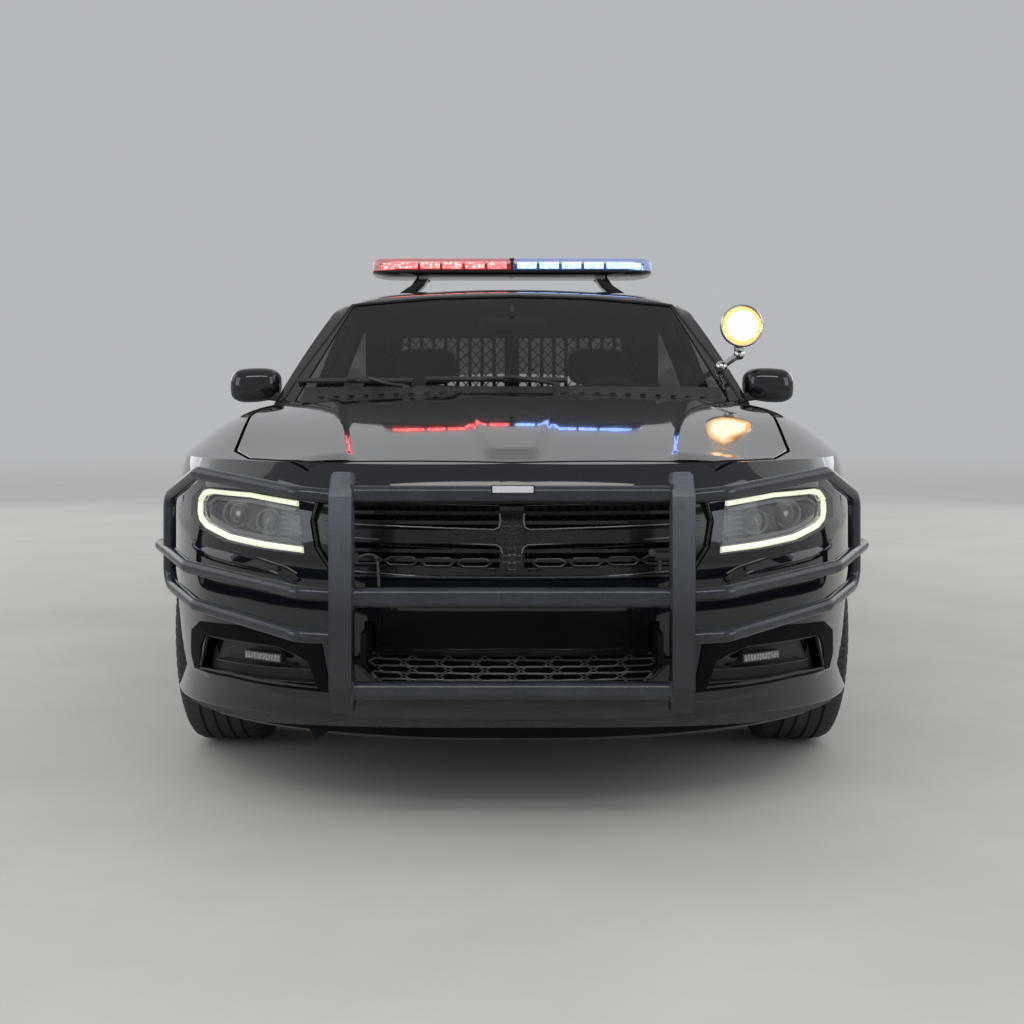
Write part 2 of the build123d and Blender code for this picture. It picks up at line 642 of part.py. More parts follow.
def liners(inside):
    """The four wheel-arch liners: a half ring and an inner wall each."""
    pieces = []
    for axle_y, radius in ((FRONT_AXLE_Y, FRONT_ARCH_RADIUS), (REAR_AXLE_Y, REAR_ARCH_RADIUS)):
        bore = radius + LINER_GAP
        for name, side in SIDES:
            ring = wheel_cut(axle_y, bore + LINER, LINER_INNER_X - LINER, side)
            ring -= wheel_cut(axle_y, bore, LINER_INNER_X, side)
            ring &= block((-BODY_EDGE_X, axle_y - 500, 330), (BODY_EDGE_X, axle_y + 500, 900))
            ring &= inside
            ring -= flipped(block((0, axle_y - 75, 0), (BODY_EDGE_X, axle_y + 75, 545)), side)
            pieces.append(ring)
    return together(*pieces)


def push_bumper():
    """Two uprights, three cross bars, wrap-round wings and the mounting plates."""
    front, back = GUARD_FRONT_Y, GUARD_FRONT_Y + UPRIGHT_DEPTH
    profile = (
        (front, UPRIGHT_BOTTOM + 62), (front + 46, UPRIGHT_BOTTOM), (front + 92, UPRIGHT_BOTTOM + 8),
        (back, UPRIGHT_BOTTOM + 82), (back, UPRIGHT_TOP - 52), (back + 22, UPRIGHT_TOP - 6),
        (front + 34, UPRIGHT_TOP), (front, UPRIGHT_TOP - 52),
    )
    low_x, high_x = UPRIGHT_X - UPRIGHT_WIDTH / 2, UPRIGHT_X + UPRIGHT_WIDTH / 2
    post = side_prism(profile, low_x, high_x, 0.0, 12.0)
    bars = []
    for z, height in CROSS_BARS:
        bar = block((-low_x - 4, front + CROSS_BAR_IN, z - height / 2),
                    (low_x + 4, front + CROSS_BAR_IN + CROSS_BAR_DEPTH, z + height / 2))
        bars.append(fillet(bar.edges().filter_by(Axis.X), 15.0))
    body = bars[0] + bars[1] + bars[2]
    y = front + 36.0
    loop = (
        (high_x - 6, y, 767), (472, y, 775), (752, y + 260, 808), (866, y + 448, 742),
        (872, y + 470, 520), (752, y + 250, 494), (472, y, 462), (high_x - 6, y, 458),
    )
    middle = ((high_x - 6, y, 551), (472, y, 556), (784, y + 290, 582), (906, y + 520, 612))
    plate = block((low_x - 30, front + CROSS_BAR_IN + 2, 402), (low_x - 18, BEAM_FRONT_Y - SEAT_GAP, 470))
    foot = block((low_x - 30, front + CROSS_BAR_IN + 2, 402), (low_x + 4, front + 50, 414))
    for name, side in SIDES:
        wing = tube_along(loop, WING_BEND, GUARD_TUBE) + tube_along(middle, WING_BEND, GUARD_TUBE)
        body += flipped(post + wing + plate + foot, side)
    return body


def grilles(ahead, behind):
    """The upper grille with its slots, and the lower intake's mesh."""
    low_y, high_y = GUARD_FRONT_Y, FRONT_AXLE_Y - 400.0
    band = ahead - behind
    upper = band & front_prism(both_halves(GRILLE), low_y, high_y, SEAT_GAP)
    for z in (733.0, 712.0, 691.0, 648.0, 627.0, 606.0):
        for x in (-210.0, 210.0):
            upper -= block((x - 182, low_y, z - 6.5), (x + 182, high_y, z + 6.5))
    lower = band & front_prism(both_halves(INTAKE), low_y, high_y, SEAT_GAP)
    for z in (340.0, 360.0, 380.0):
        for n in range(-6, 7):
            lower -= block((n * 44.0 - 17, low_y, z - 5), (n * 44.0 + 17, high_y, z + 5))
    return together(upper, lower)


def lightbar(above_roof):
    """A flat lamp housing on two feet."""
    low, high = BAR_BOTTOM, BAR_BOTTOM + BAR_HEIGHT
    half, deep = BAR_LENGTH / 2, BAR_DEPTH / 2
    housing = block((-half, BAR_Y - deep, low + 14), (half, BAR_Y + deep, high))
    housing = fillet(housing.edges().filter_by(Axis.Z), 90.0)
    housing = fillet(housing.edges().group_by(Axis.Z)[-1], 10.0)
    body = housing + block((-half + 40, BAR_Y - deep + 20, low), (half - 40, BAR_Y + deep - 20, low + 20))
    slant = ((350, low + 4), (395, low + 4), (BAR_FOOT_X + 30, 1440), (BAR_FOOT_X - 30, 1440))
    for name, side in SIDES:
        body += flipped(front_prism(slant, BAR_Y - 60, BAR_Y + 60), side)
    return body - above_roof


def spotlight(cabin):
    """A round lamp on a bent stem that meets the screen pillar."""
    x, y, z = SPOT_PLACE
    lamp = Pos(x, y, z) * Cylinder(SPOT_RADIUS, SPOT_LENGTH, rotation=(90, 0, 0))
    lamp = fillet(lamp.edges().group_by(Axis.Y)[-1], 32.0)
    elbow = (x, y + 6, z - SPOT_RADIUS - 24)
    knob = Pos(*elbow) * Sphere(SPOT_STEM * 1.3)
    return (lamp + rod((x, y, z), elbow, SPOT_STEM) + knob + rod(elbow, SPOT_FOOT, SPOT_STEM)) - cabin


def mirror_head(cabin):
    """A door mirror for the driver's side, on an arm that reaches the door."""
    low_x, high_x, low, high = MIRROR_INNER_X, MIRROR_OUTER_X, MIRROR_LOW, MIRROR_HIGH
    points = ((low_x + 6, low + 8), (high_x - 14, low), (high_x, high - 40), (high_x - 22, high - 6),
              (low_x + 26, high), (low_x, high - 30))
    head = front_prism(points, MIRROR_Y - MIRROR_DEPTH / 2, MIRROR_Y + MIRROR_DEPTH / 2, 0.0, 10.0)
    arm = block((low_x - 50, MIRROR_Y - 30, low + 2), (low_x + 20, MIRROR_Y + 30, low + 30))
    return (head + arm) - cabin


def front_seat():
    """One front seat: runners, cushion, backrest and head restraint."""
    half, y = SEAT_WIDTH / 2, SEAT_Y
    runners = block((-half + 60, y - 230, FLOOR_Z + SEAT_GAP), (half - 60, y + 190, 390))
    cushion = block((-half, y - 280, 380), (half, y + 220, 520))
    cushion = fillet(cushion.edges(), 38.0)
    recline = ((y + 110, 470), (y + 225, 440), (y + 395, 1060), (y + 310, 1075))
    back = side_prism(recline, -half + 10, half - 10, 0.0, 26.0)
    head = ((y + 318, 1085), (y + 400, 1075), (y + 425, 1225), (y + 345, 1235))
    rest = side_prism(head, -130, 130, 0.0, 26.0)
    posts = block((-60, y + 345, 1040), (60, y + 362, 1110))
    return runners + cushion + back + rest + posts


def bench():
    """The rear bench: one cushion and one backrest across the cabin."""
    wide, y = BENCH_HALF_WIDTH, BENCH_Y
    rear = BULKHEAD_Y - PANEL - SEAT_GAP
    seat = block((-wide, y - 260, FLOOR_Z + SEAT_GAP), (wide, y + 230, 500))
    back = side_prism(((y + 160, 460), (rear, 460), (rear, 1000), (y + 330, 1000)), -wide, wide, 0.0, 20.0)
    tunnel = block((-TUNNEL_HALF - TUNNEL_WALL - 2, y - 300, 0),
                   (TUNNEL_HALF + TUNNEL_WALL + 2, y + 460, TUNNEL_TOP + SEAT_GAP))
    body = (seat + back) - tunnel
    reach = REAR_AXLE_Y - REAR_ARCH_RADIUS - LINER_GAP - LINER - 6.0
    for name, side in SIDES:
        body -= flipped(block((LINER_INNER_X - LINER - 8, reach, 0), (BODY_EDGE_X, BULKHEAD_Y, 800)), side)
    return body


def partition(inside):
    """The screen behind the front seats: a frame, a solid lower panel and an open mesh above."""
    y = PARTITION_Y
    slab = inside & block((-640, y, FLOOR_Z + SEAT_GAP), (640, y + PARTITION, 1380))
    outer_half = TUNNEL_HALF + TUNNEL_WALL + 2.0
    slab -= block((-outer_half, y - 20, 0), (outer_half, y + 60, TUNNEL_TOP + SEAT_GAP))
    for low_x, high_x in ((-560, -20), (20, 560)):
        slab -= block((low_x, y - 10, 900), (high_x, y + 9, 1300))
        slab -= block((low_x, y + 15, 900), (high_x, y + 40, 1300))
        for n in range(10):
            slab -= block((low_x + 12 + n * 53, y - 10, 915), (low_x + 50 + n * 53, y + 40, 1285))
    return slab


def dashboard(inside):
    """The dash across the cabin, with the steering wheel on its column."""
    front, rear = DASH_FRONT_Y, DASH_REAR_Y
    profile = ((front, 930), (rear - 90, 975), (rear, 930), (rear + 14, 760), (rear - 90, 640), (front, 640))
    body = inside & side_prism(profile, -780, 780)
    x, y, z = WHEEL_PLACE
    turn = Pos(x, y, z) * Rot(WHEEL_TILT - 90, 0, 0)
    reach = abs(y - rear) + 60.0
    column = rod((x, y, z), (x, y - reach, z - reach * math.tan(math.radians(WHEEL_TILT))), 32.0)
    ring = turn * Torus(WHEEL_RADIUS, WHEEL_TUBE)
    hub = turn * Cylinder(58.0, 44.0)
    spoke = turn * Box(2 * WHEEL_RADIUS, 40.0, 18.0)
    console = block((-110, rear - 20, TUNNEL_TOP + SEAT_GAP), (110, rear + 60, 800))
    return body + column + ring + hub + spoke + console


def exhaust():
    """Two pipes under the floor, each to a silencer and a tail pipe."""
    pieces = []
    half = MUFFLER_WIDTH / 2
    box_y = REAR_AXLE_Y + REAR_ARCH_RADIUS + LINER_GAP + LINER + 20.0
    box_end = box_y + MUFFLER_LENGTH
    low = TIP_Z - 50.0
    hook_x = TIP_X - half + 30
    bend_y = REAR_AXLE_Y + 160
    route = ((PIPE_X, FIREWALL_Y + 60, PIPE_Z), (PIPE_X, bend_y, PIPE_Z), (TIP_X - 40, box_y + 30, TIP_Z))
    for name, side in SIDES:
        pipe = tube_along(route, 90.0, PIPE_RADIUS)
        box = block((TIP_X - half, box_y, low), (TIP_X + half, box_end, low + MUFFLER_HEIGHT))
        box = fillet(box.edges().filter_by(Axis.Y), 40.0)
        tip = rod((TIP_X, box_end - 10, TIP_Z), (TIP_X, TAIL_Y - 28, TIP_Z), TIP_RADIUS)
        tip -= rod((TIP_X, TAIL_Y - 110, TIP_Z), (TIP_X, TAIL_Y, TIP_Z), TIP_RADIUS - TIP_WALL)
        hanger = block((BEAM_OUTER_X - 20, box_y + 40, TIP_Z), (hook_x, box_y + 70, REAR_BEAM_Z - SEAT_GAP))
        pieces.append(flipped(pipe + box + tip + hanger, side))
    return together(*pieces)


def engine():
    """A plain engine block with the gearbox and the shaft to the final drive."""
    front = FRONT_AXLE_Y - 190.0
    rear = front + ENGINE_LENGTH
    low = CROSS_BEAM_Z + CROSS_BEAM + SEAT_GAP
    body = block((-ENGINE_HALF_WIDTH, front, low), (ENGINE_HALF_WIDTH, rear, low + ENGINE_HEIGHT))
    box_end = rear + GEARBOX_LENGTH
    body += rod((0, rear - 10, SHAFT_Z), (0, box_end, SHAFT_Z), GEARBOX_RADIUS)
    shaft_end = REAR_AXLE_Y - FINAL_DRIVE - SEAT_GAP
    return body + rod((0, box_end - 10, SHAFT_Z), (0, shaft_end, SHAFT_Z), SHAFT_RADIUS)


def radiator(under_bonnet):
    """The radiator and its support, standing on the front beams and carrying the closed bonnet."""
    low = FRONT_BEAM_Z + BEAM_HEIGHT + SEAT_GAP
    wide = RADIATOR_HALF_WIDTH
    return under_bonnet & block((-wide, RADIATOR_Y, low), (wide, RADIATOR_Y + RADIATOR, 1000))


def wipers(body):
    """Two wiper arms on their spindles, lying on the cowl in front of the screen."""
    pieces = []
    for x, y, z in ((-360.0, -932.0, 1040.0), (150.0, -962.0, 1048.0)):
        post = rod((x, y, z - 60), (x, y, z + 6), 14.0)
        arm = rod((x, y, z), (x - 300, y + 34, z + 2), 6.0)
        pieces.append((post + arm) - body)
    return together(*pieces)


def save(shape, name):
    """Writes one sub-part as a STEP file."""
    export_step(together(shape), f"parts/{name}.step")


def main():
    os.makedirs("parts", exist_ok=True)
    wide = BODY_EDGE_X + 100.0
    low_out, high_out = lower_body(), upper_body()
    low_in, high_in = lower_body(SIDE_WALL, NOSE_WALL, TOP_WALL), upper_body(PILLAR_WALL, TOP_WALL)
    low_walls = (low_out - low_in) - high_in
    walls = (low_out + high_out) - low_in - high_in
    inside = lower_body(SIDE_WALL + SEAT_GAP, NOSE_WALL + SEAT_GAP, TOP_WALL + SEAT_GAP)
    cabin_inside = inside + upper_body(PILLAR_WALL + SEAT_GAP, TOP_WALL + SEAT_GAP)
    clear_low, clear_high = lower_body(-SEAT_GAP, -SEAT_GAP, -SEAT_GAP), upper_body(-SEAT_GAP, -SEAT_GAP)
    pane = upper_body(GLASS_DEPTH, GLASS_DEPTH) - upper_body(GLASS_DEPTH + GLASS, GLASS_DEPTH + GLASS)

    arches = together(*[
        wheel_cut(axle_y, radius, LINER_INNER_X + 100.0, side)
        for axle_y, radius in ((FRONT_AXLE_Y, FRONT_ARCH_RADIUS), (REAR_AXLE_Y, REAR_ARCH_RADIUS))
        for name, side in SIDES
    ])
    bonnet_outline = both_halves(BONNET)
    bonnet_hole = plan_prism(bonnet_outline, 760.0, 1150.0, -SHUT_GAP)
    lamp_cut = [front_prism(HEADLAMP, NOSE_Y - 50, FRONT_AXLE_Y - 350, -SEAT_GAP)]
    lamp_cut.append(mirror(lamp_cut[0], about=Plane.YZ))

    # Doors with their windows and mirrors
    openings = []
    for place, number, window in (("front", FRONT_DOOR, FRONT_WINDOW), ("rear", REAR_DOOR, REAR_WINDOW)):
        leaf = (walls & side_prism(number, 450.0, wide)) - side_prism(window, 450.0, wide, 0.0, 12.0)
        leaf -= striker(place, SEAT_GAP)
        if place == "rear":
            leaf -= arches
        glass = pane & side_prism(window, 450.0, wide, SEAT_GAP, 12.0 - SEAT_GAP)
        opening = side_prism(number, 450.0, wide, -SHUT_GAP)
        for name, side in SIDES:
            save(flipped(leaf, side), f"door_{place}_{name}")
            save(flipped(glass, side), f"glass_{place}_{name}")
            openings.append(flipped(opening, side))
    head = mirror_head(clear_low + clear_high)
    for name, side in SIDES:
        save(flipped(head, side), f"mirror_{name}")

    # Body behind the front doors' leading edge, with the cowl and the roof
    cowl_plan = (
        (COWL_FRONT_HALF_WIDTH, FRONT_DOOR_Y - 350.0),
        (COWL_HALF_WIDTH, FRONT_DOOR_Y - 50.0),
        (COWL_HALF_WIDTH, FRONT_DOOR_Y + 50.0),
    )
    cowl = plan_prism(both_halves(cowl_plan), 900.0, 1200.0)
    front_zone = block((-wide, GUARD_FRONT_Y, 0), (wide, FRONT_DOOR_Y - SHUT_GAP, 1200)) - cowl
    screen_hole = front_prism(both_halves(SCREEN), FRONT_DOOR_Y - 300, 0.0) - lower_body(-1.0, -1.0, -1.0)
    back_hole = front_prism(both_halves(BACKLIGHT), 500.0, TAIL_Y)
    tail_zone = [(REAR_AXLE_Y, SILL_BOTTOM - 5), *REAR_SEAM, (TAIL_Y + 50, SILL_BOTTOM - 5)]
    lid_zone = block((-LID_HALF_WIDTH, LID_FRONT_Y, LID_BOTTOM), (LID_HALF_WIDTH, TAIL_Y + 50, 1200))
    lid_hole = block((-LID_HALF_WIDTH - SHUT_GAP, LID_FRONT_Y - SHUT_GAP, LID_BOTTOM - SHUT_GAP),
                     (LID_HALF_WIDTH + SHUT_GAP, TAIL_Y + 50, 1200))
    tail_lamp = front_prism(TAIL_LAMP, REAR_AXLE_Y + 600, TAIL_Y + 50)
    tail_hole = front_prism(TAIL_LAMP, REAR_AXLE_Y + 600, TAIL_Y + 50, -SEAT_GAP)
    body = walls - front_zone - bonnet_hole
    for opening in openings:
        body -= opening
    body = body - screen_hole - back_hole - side_prism(tail_zone, -wide, wide) - lid_hole
    body = body - tail_hole - mirror(tail_hole, about=Plane.YZ) - arches
    body += centre_posts()
    for name, side in SIDES:
        body += flipped(striker("front") + striker("rear"), side)
    low, high = LID_BOTTOM - SHUT_GAP - 4.0, LID_BOTTOM - SEAT_GAP
    for name, side in SIDES:
        body += rod((side * BUFFER_X, BUFFER_Y, low), (side * BUFFER_X, BUFFER_Y, high), BUFFER_RADIUS)
    save(body, "body_frame")
    screen = pane & front_prism(both_halves(SCREEN), FRONT_DOOR_Y - 300, 0.0, SEAT_GAP)
    save(screen - lower_body(-1.0 - SEAT_GAP, -1.0 - SEAT_GAP, -1.0 - SEAT_GAP), "windshield")
    save(pane & front_prism(both_halves(BACKLIGHT), 500.0, TAIL_Y, SEAT_GAP), "rear_window")
    save(low_walls & lid_zone, "boot_lid")
    save(together(low_walls & tail_lamp, low_walls & mirror(tail_lamp, about=Plane.YZ)), "tail_lamps")
    rear_fascia = (low_walls & side_prism(tail_zone, -wide, wide, SEAT_GAP)) - lid_hole - arches
    tip_hole = rod((TIP_X, TAIL_Y - 300, TIP_Z), (TIP_X, TAIL_Y + 50, TIP_Z), TIP_RADIUS + 6.0)
    for name, side in SIDES:
        rear_fascia -= flipped(tip_hole, side)
    save(rear_fascia, "rear_fascia")

    # Front end
    save((low_out & plan_prism(bonnet_outline, 700.0, 1150.0)) - under_top(TOP_WALL), "bonnet")
    fender_rear = FRONT_DOOR_Y - SHUT_GAP - SEAT_GAP
    fender_zone = [*FENDER_SEAM, (fender_rear, 1100.0), (fender_rear, SILL_BOTTOM)]
    fender = (low_walls & side_prism(fender_zone, 400.0, wide)) - bonnet_hole - arches
    fender = fender - lamp_cut[0] - plan_prism(both_halves(cowl_plan), 0.0, 1200.0, -SEAT_GAP)
    for name, side in SIDES:
        save(flipped(fender, side), f"fender_{name}")
    nose_zone = [*FENDER_SEAM, (GUARD_FRONT_Y, 1100.0), (GUARD_FRONT_Y, SILL_BOTTOM)]
    fascia = (low_walls & side_prism(nose_zone, -wide, wide, SEAT_GAP)) - bonnet_hole - arches
    fascia -= front_prism(both_halves(GRILLE), GUARD_FRONT_Y, FRONT_AXLE_Y - 400.0)
    fascia -= front_prism(both_halves(INTAKE), GUARD_FRONT_Y, FRONT_AXLE_Y - 400.0)
    recess = front_prism(FOG_RECESS, GUARD_FRONT_Y, FRONT_AXLE_Y - 400.0)
    recess -= lower_body(RECESS, RECESS, RECESS)
    for cut in (lamp_cut[0], lamp_cut[1], recess, mirror(recess, about=Plane.YZ)):
        fascia -= cut
    slot = block((UPRIGHT_X - 61, GUARD_FRONT_Y, 396), (UPRIGHT_X - 37, BEAM_FRONT_Y, 476))
    for name, side in SIDES:
        fascia -= flipped(slot, side)
    save(fascia, "front_fascia")
    lamps = low_walls & front_prism(HEADLAMP, NOSE_Y - 50, FRONT_AXLE_Y - 350)
    save(together(lamps, mirror(lamps, about=Plane.YZ)), "front_lamps")
    save(grilles(lower_body(14.0, 14.0, 14.0), low_in), "grille")
    save(push_bumper(), "push_bumper")

    # On the roof and the pillars
    save(lightbar(clear_high), "lightbar")
    save(spotlight(clear_high), "spotlight")
    save(wipers(clear_low), "wipers")

    # Underneath and inside
    save(platform(inside), "platform")
    save(liners(inside), "wheel_liners")
    save(engine(), "engine")
    save(radiator(under_top(TOP_WALL + SEAT_GAP)), "radiator")
    save(exhaust(), "exhaust")
    save(front_suspension(), "front_suspension")
    save(rear_suspension(), "rear_suspension")
    save(together(Pos(SEAT_X, 0, 0) * front_seat(), Pos(-SEAT_X, 0, 0) * front_seat(), bench()), "seats")
    save(dashboard(cabin_inside), "dashboard")
    save(partition(cabin_inside), "partition")

    # Wheels and what carries the front ones
    for name, side in SIDES:
        save(flipped(knuckle(), side), f"knuckle_{name}")
        for place, axle_y in (("front", FRONT_AXLE_Y), ("rear", REAR_AXLE_Y)):
            save(at_wheel(tyre(), axle_y, side), f"tyre_{place}_{name}")
            save(at_wheel(wheel(), axle_y, side), f"wheel_{place}_{name}")


if __name__ == "__main__":
    main()
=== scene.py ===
import math

import bpy
from mathutils import Matrix, Vector
from mathutils.bvhtree import BVHTree


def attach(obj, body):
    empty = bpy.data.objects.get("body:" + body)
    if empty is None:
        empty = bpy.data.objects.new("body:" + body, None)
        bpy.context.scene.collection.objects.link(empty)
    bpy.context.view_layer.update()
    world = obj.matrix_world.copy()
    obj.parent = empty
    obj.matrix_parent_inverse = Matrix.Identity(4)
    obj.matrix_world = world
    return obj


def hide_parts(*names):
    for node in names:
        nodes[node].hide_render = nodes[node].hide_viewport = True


# The looks of a four-door patrol saloon: paint, glass, lamps, trim and cabin. Metres, +Z up, nose to -Y.

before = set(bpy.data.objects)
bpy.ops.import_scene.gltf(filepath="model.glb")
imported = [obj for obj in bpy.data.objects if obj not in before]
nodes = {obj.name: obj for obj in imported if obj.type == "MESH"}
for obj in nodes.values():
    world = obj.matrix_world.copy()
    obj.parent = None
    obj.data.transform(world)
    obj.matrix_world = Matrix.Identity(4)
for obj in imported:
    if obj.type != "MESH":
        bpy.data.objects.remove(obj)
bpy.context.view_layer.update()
bpy.ops.object.select_all(action="DESELECT")

SIDES = (("left", 1.0), ("right", -1.0))
FRONT_AXLE_Y = -1.511
REAR_AXLE_Y = 1.541
TRACK = 1.610
TYRE_RADIUS = 0.3635

# The nose's plan outline: how far it lies ahead of the front axle, and how square its curve is
NOSE_REACH = 0.950
NOSE_POWER = 2.4

# The push bumper's foremost plane, its uprights' middles and sides, and the foot and height of their tops
GUARD_FRONT_Y = -2.579
UPRIGHT_X = 0.374
UPRIGHT_INNER_X = 0.345
UPRIGHT_OUTER_X = 0.403
CROWN_Z = 0.811
CROWN_HEIGHT = 0.011

# The light bar's middle, half length and half depth, round corners and the height of its lit modules
BAR_Y = 0.24
BAR_HALF = 0.588
BAR_DEEP = 0.150
BAR_CORNER = 0.088
MODULE_Z = 1.571

SPOT_PLACE = (0.818, -0.660, 1.265)
DRIVER_X = 0.370
CABIN_FLOOR_Z = 0.2185
LINING_X = 0.842
SCREEN_FOOT_Z = 1.048
BACKDROP = (0.47, 0.485, 0.50, 1.0)
WELD = 0.00001


# Modelling helpers


def only(obj):
    """Selects one object and makes it active."""
    bpy.ops.object.select_all(action="DESELECT")
    obj.select_set(True)
    bpy.context.view_layer.objects.active = obj
    return obj


def edited(obj, *steps):
    """Runs mesh operators on all of an object's faces, each as (name, settings)."""
    only(obj)
    bpy.ops.object.mode_set(mode="EDIT")
    bpy.ops.mesh.select_all(action="SELECT")
    for name, settings in steps:
        getattr(bpy.ops.mesh, name)(**settings)
    bpy.ops.object.mode_set(mode="OBJECT")
    return obj


def settled(obj):
    """Carries an object's place, turn and size into its mesh."""
    only(obj)
    bpy.ops.object.transform_apply(location=True, rotation=True, scale=True)
    return obj


def modified(obj, kind, **settings):
    """Adds a modifier and applies it."""
    only(obj)
    modifier = obj.modifiers.new(kind.lower(), kind)
    for name, value in settings.items():
        setattr(modifier, name, value)
    bpy.ops.object.modifier_apply(modifier=modifier.name)
    return obj


def smoothed(obj, angle=32.0):
    """Smooth shading, kept sharp across steep edges."""
    only(obj)
    bpy.ops.object.shade_smooth_by_angle(angle=math.radians(angle))
    return obj


def rounded_edges(obj, width, steps=2, angle=30.0):
    """Bevels the steep edges."""
    return modified(obj, "BEVEL", width=width, segments=steps, limit_method="ANGLE",
                    angle_limit=math.radians(angle), harden_normals=False)


def block(low, high, edge=0.0, steps=2):
    """A box between two corners, with its edges rounded."""
    size = [b - a for a, b in zip(low, high)]
    middle = [(a + b) / 2 for a, b in zip(low, high)]
    bpy.ops.mesh.primitive_cube_add(size=1.0, location=middle)
    obj = bpy.context.object
    obj.scale = size
    settled(obj)
    return rounded_edges(obj, edge, steps) if edge else obj


def rod(start, end, radius, sides=20, edge=0.0):
    """A round bar from one point to another."""
    start, end = Vector(start), Vector(end)
    way = end - start
    turn = way.to_track_quat("Z", "Y").to_euler()
    bpy.ops.mesh.primitive_cylinder_add(vertices=sides, radius=radius, depth=way.length,
                                        location=(start + end) / 2, rotation=turn)
    obj = settled(bpy.context.object)
    return rounded_edges(obj, edge, 2, 50.0) if edge else obj


def ball(place, radius, size=(1.0, 1.0, 1.0), sides=20):
    """A sphere, or an ellipsoid if its size varies."""
    bpy.ops.mesh.primitive_uv_sphere_add(segments=sides, ring_count=sides // 2, radius=radius,
                                         location=place)
    obj = bpy.context.object
    obj.scale = size
    return settled(obj)


def linked(name, mesh):
    """A new object that holds a mesh."""
    obj = bpy.data.objects.new(name, mesh)
    bpy.context.scene.collection.objects.link(obj)
    return obj


def drawn(points, faces):
    """An object from its points and faces, as they are."""
    mesh = bpy.data.meshes.new("shape")
    mesh.from_pydata([tuple(p) for p in points], [], faces)
    return linked("shape", mesh)


def solid(points, faces):
    """A closed shape from its points and faces, its normals turned outwards."""
    obj = drawn(points, faces)
    obj.data.validate()
    return edited(obj, ("remove_doubles", {"threshold": WELD}),
                  ("normals_make_consistent", {"inside": False}))


def lofted(loops, ring=False):
    """A skin through closed loops of equal length, capped at both ends or joined into a ring."""
    count = len(loops[0])
    points = [p for loop in loops for p in loop]
    faces = []
    last = len(loops) if ring else len(loops) - 1
    for i in range(last):
        a, b = i * count, (i + 1) % len(loops) * count
        for j in range(count):
            k = (j + 1) % count
            faces.append((a + j, a + k, b + k, b + j))
    if not ring:
        faces.append(tuple(range(count))[::-1])
        faces.append(tuple(range(len(points) - count, len(points))))
    return solid(points, faces)


def turned(profile, centre, steps=48, axis="Y"):
    """A turned shape: a profile of (along, radius) points round the Y or X axis through the centre."""
    loops = []
    for n in range(steps):
        a = 2 * math.pi * n / steps
        c, s = math.cos(a), math.sin(a)
        loop = []
        for along, radius in profile:
            if axis == "Y":
                loop.append((centre[0] + radius * c, centre[1] + along, centre[2] + radius * s))
            else:
                loop.append((centre[0] + along, centre[1] + radius * c, centre[2] + radius * s))
        loops.append(loop)
    return lofted(loops, ring=True)


def walked(points, steps, closed=False):
    """Places along a line of (a, b) pairs, each stretch cut into equal steps."""
    stops = [*points, points[0]] if closed else list(points)
    places = []
    for (a0, b0), (a1, b1) in zip(stops, stops[1:]):
        for n in range(steps):
            t = n / steps
            places.append((a0 + (a1 - a0) * t, b0 + (b1 - b0) * t))
    return places if closed else [*places, stops[-1]]


def eased(points, radius, steps=4):
    """A path with its corners rounded."""
    points = [Vector(p) for p in points]
    path = [points[0]]
    for before, here, after in zip(points, points[1:], points[2:]):
        a, b = before - here, after - here
        reach = min(radius, a.length * 0.45, b.length * 0.45)
        start, end = here + a.normalized() * reach, here + b.normalized() * reach
        for n in range(steps + 1):
            t = n / steps
            path.append(start * (1 - t) ** 2 + here * 2 * t * (1 - t) + end * t ** 2)
    path.append(points[-1])
    return path


def swept(path, section, up=(0, 0, 1), ring=False):
    """A section of (side, up) points carried along a path."""
    path = [Vector(p) for p in path]
    loops = []
    for n, here in enumerate(path):
        before = path[n - 1] if n or ring else here
        after = path[(n + 1) % len(path)] if n + 1 < len(path) or ring else here
        way = (after - before).normalized()
        side = way.cross(Vector(up)).normalized()
        rise = side.cross(way)
        loops.append([here + side * a + rise * b for a, b in section])
    return lofted(loops, ring)


def circle(radius, sides=10, tall=1.0):
    """A round section."""
    turn = 2 * math.pi / sides
    return [(radius * math.cos(n * turn), radius * tall * math.sin(n * turn)) for n in range(sides)]


def piped(points, radius, bend=0.0, sides=10, ring=False, up=(0, 0, 1)):
    """A round tube along a path."""
    path = eased(points, bend) if bend else points
    return smoothed(swept(path, circle(radius, sides), up, ring), 50.0)


def again(obj, matrix):
    """A copy with its own mesh, put elsewhere by a matrix."""
    twin = linked(obj.name, obj.data.copy())
    twin.data.transform(matrix)
    return twin


def flipped(obj):
    """A mirror-image copy on the car's other side."""
    twin = again(obj, Matrix.Scale(-1.0, 4, (1, 0, 0)))
    twin.data.flip_normals()
    return twin


def shifted(x, y, z):
    """A move by three distances."""
    return Matrix.Translation((x, y, z))


def spun(angle, axis, centre):
    """A turn in degrees round an axis through a centre."""
    move = Matrix.Translation(centre)
    return move @ Matrix.Rotation(math.radians(angle), 4, axis) @ move.inverted()


def joined(*objs):
    """Several objects as one."""
    if len(objs) == 1:
        return objs[0]
    bpy.ops.object.select_all(action="DESELECT")
    for obj in objs:
        obj.select_set(True)
    bpy.context.view_layer.objects.active = objs[0]
    bpy.ops.object.join()
    return objs[0]


def coated(obj, material):
    """Gives the whole object one finish."""
    obj.data.materials.clear()
    obj.data.materials.append(material)
    return obj


def placed(obj, name, body, material=None, stands_for=()):
    """Names a finished piece and fixes it to its moving body."""
    if isinstance(obj, (list, tuple)):
        obj = joined(*obj)
    obj.name = name
    obj.data.name = name
    if material:
        coated(obj, material)
    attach(obj, body)
    if stands_for:
        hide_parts(*stands_for)
    return obj


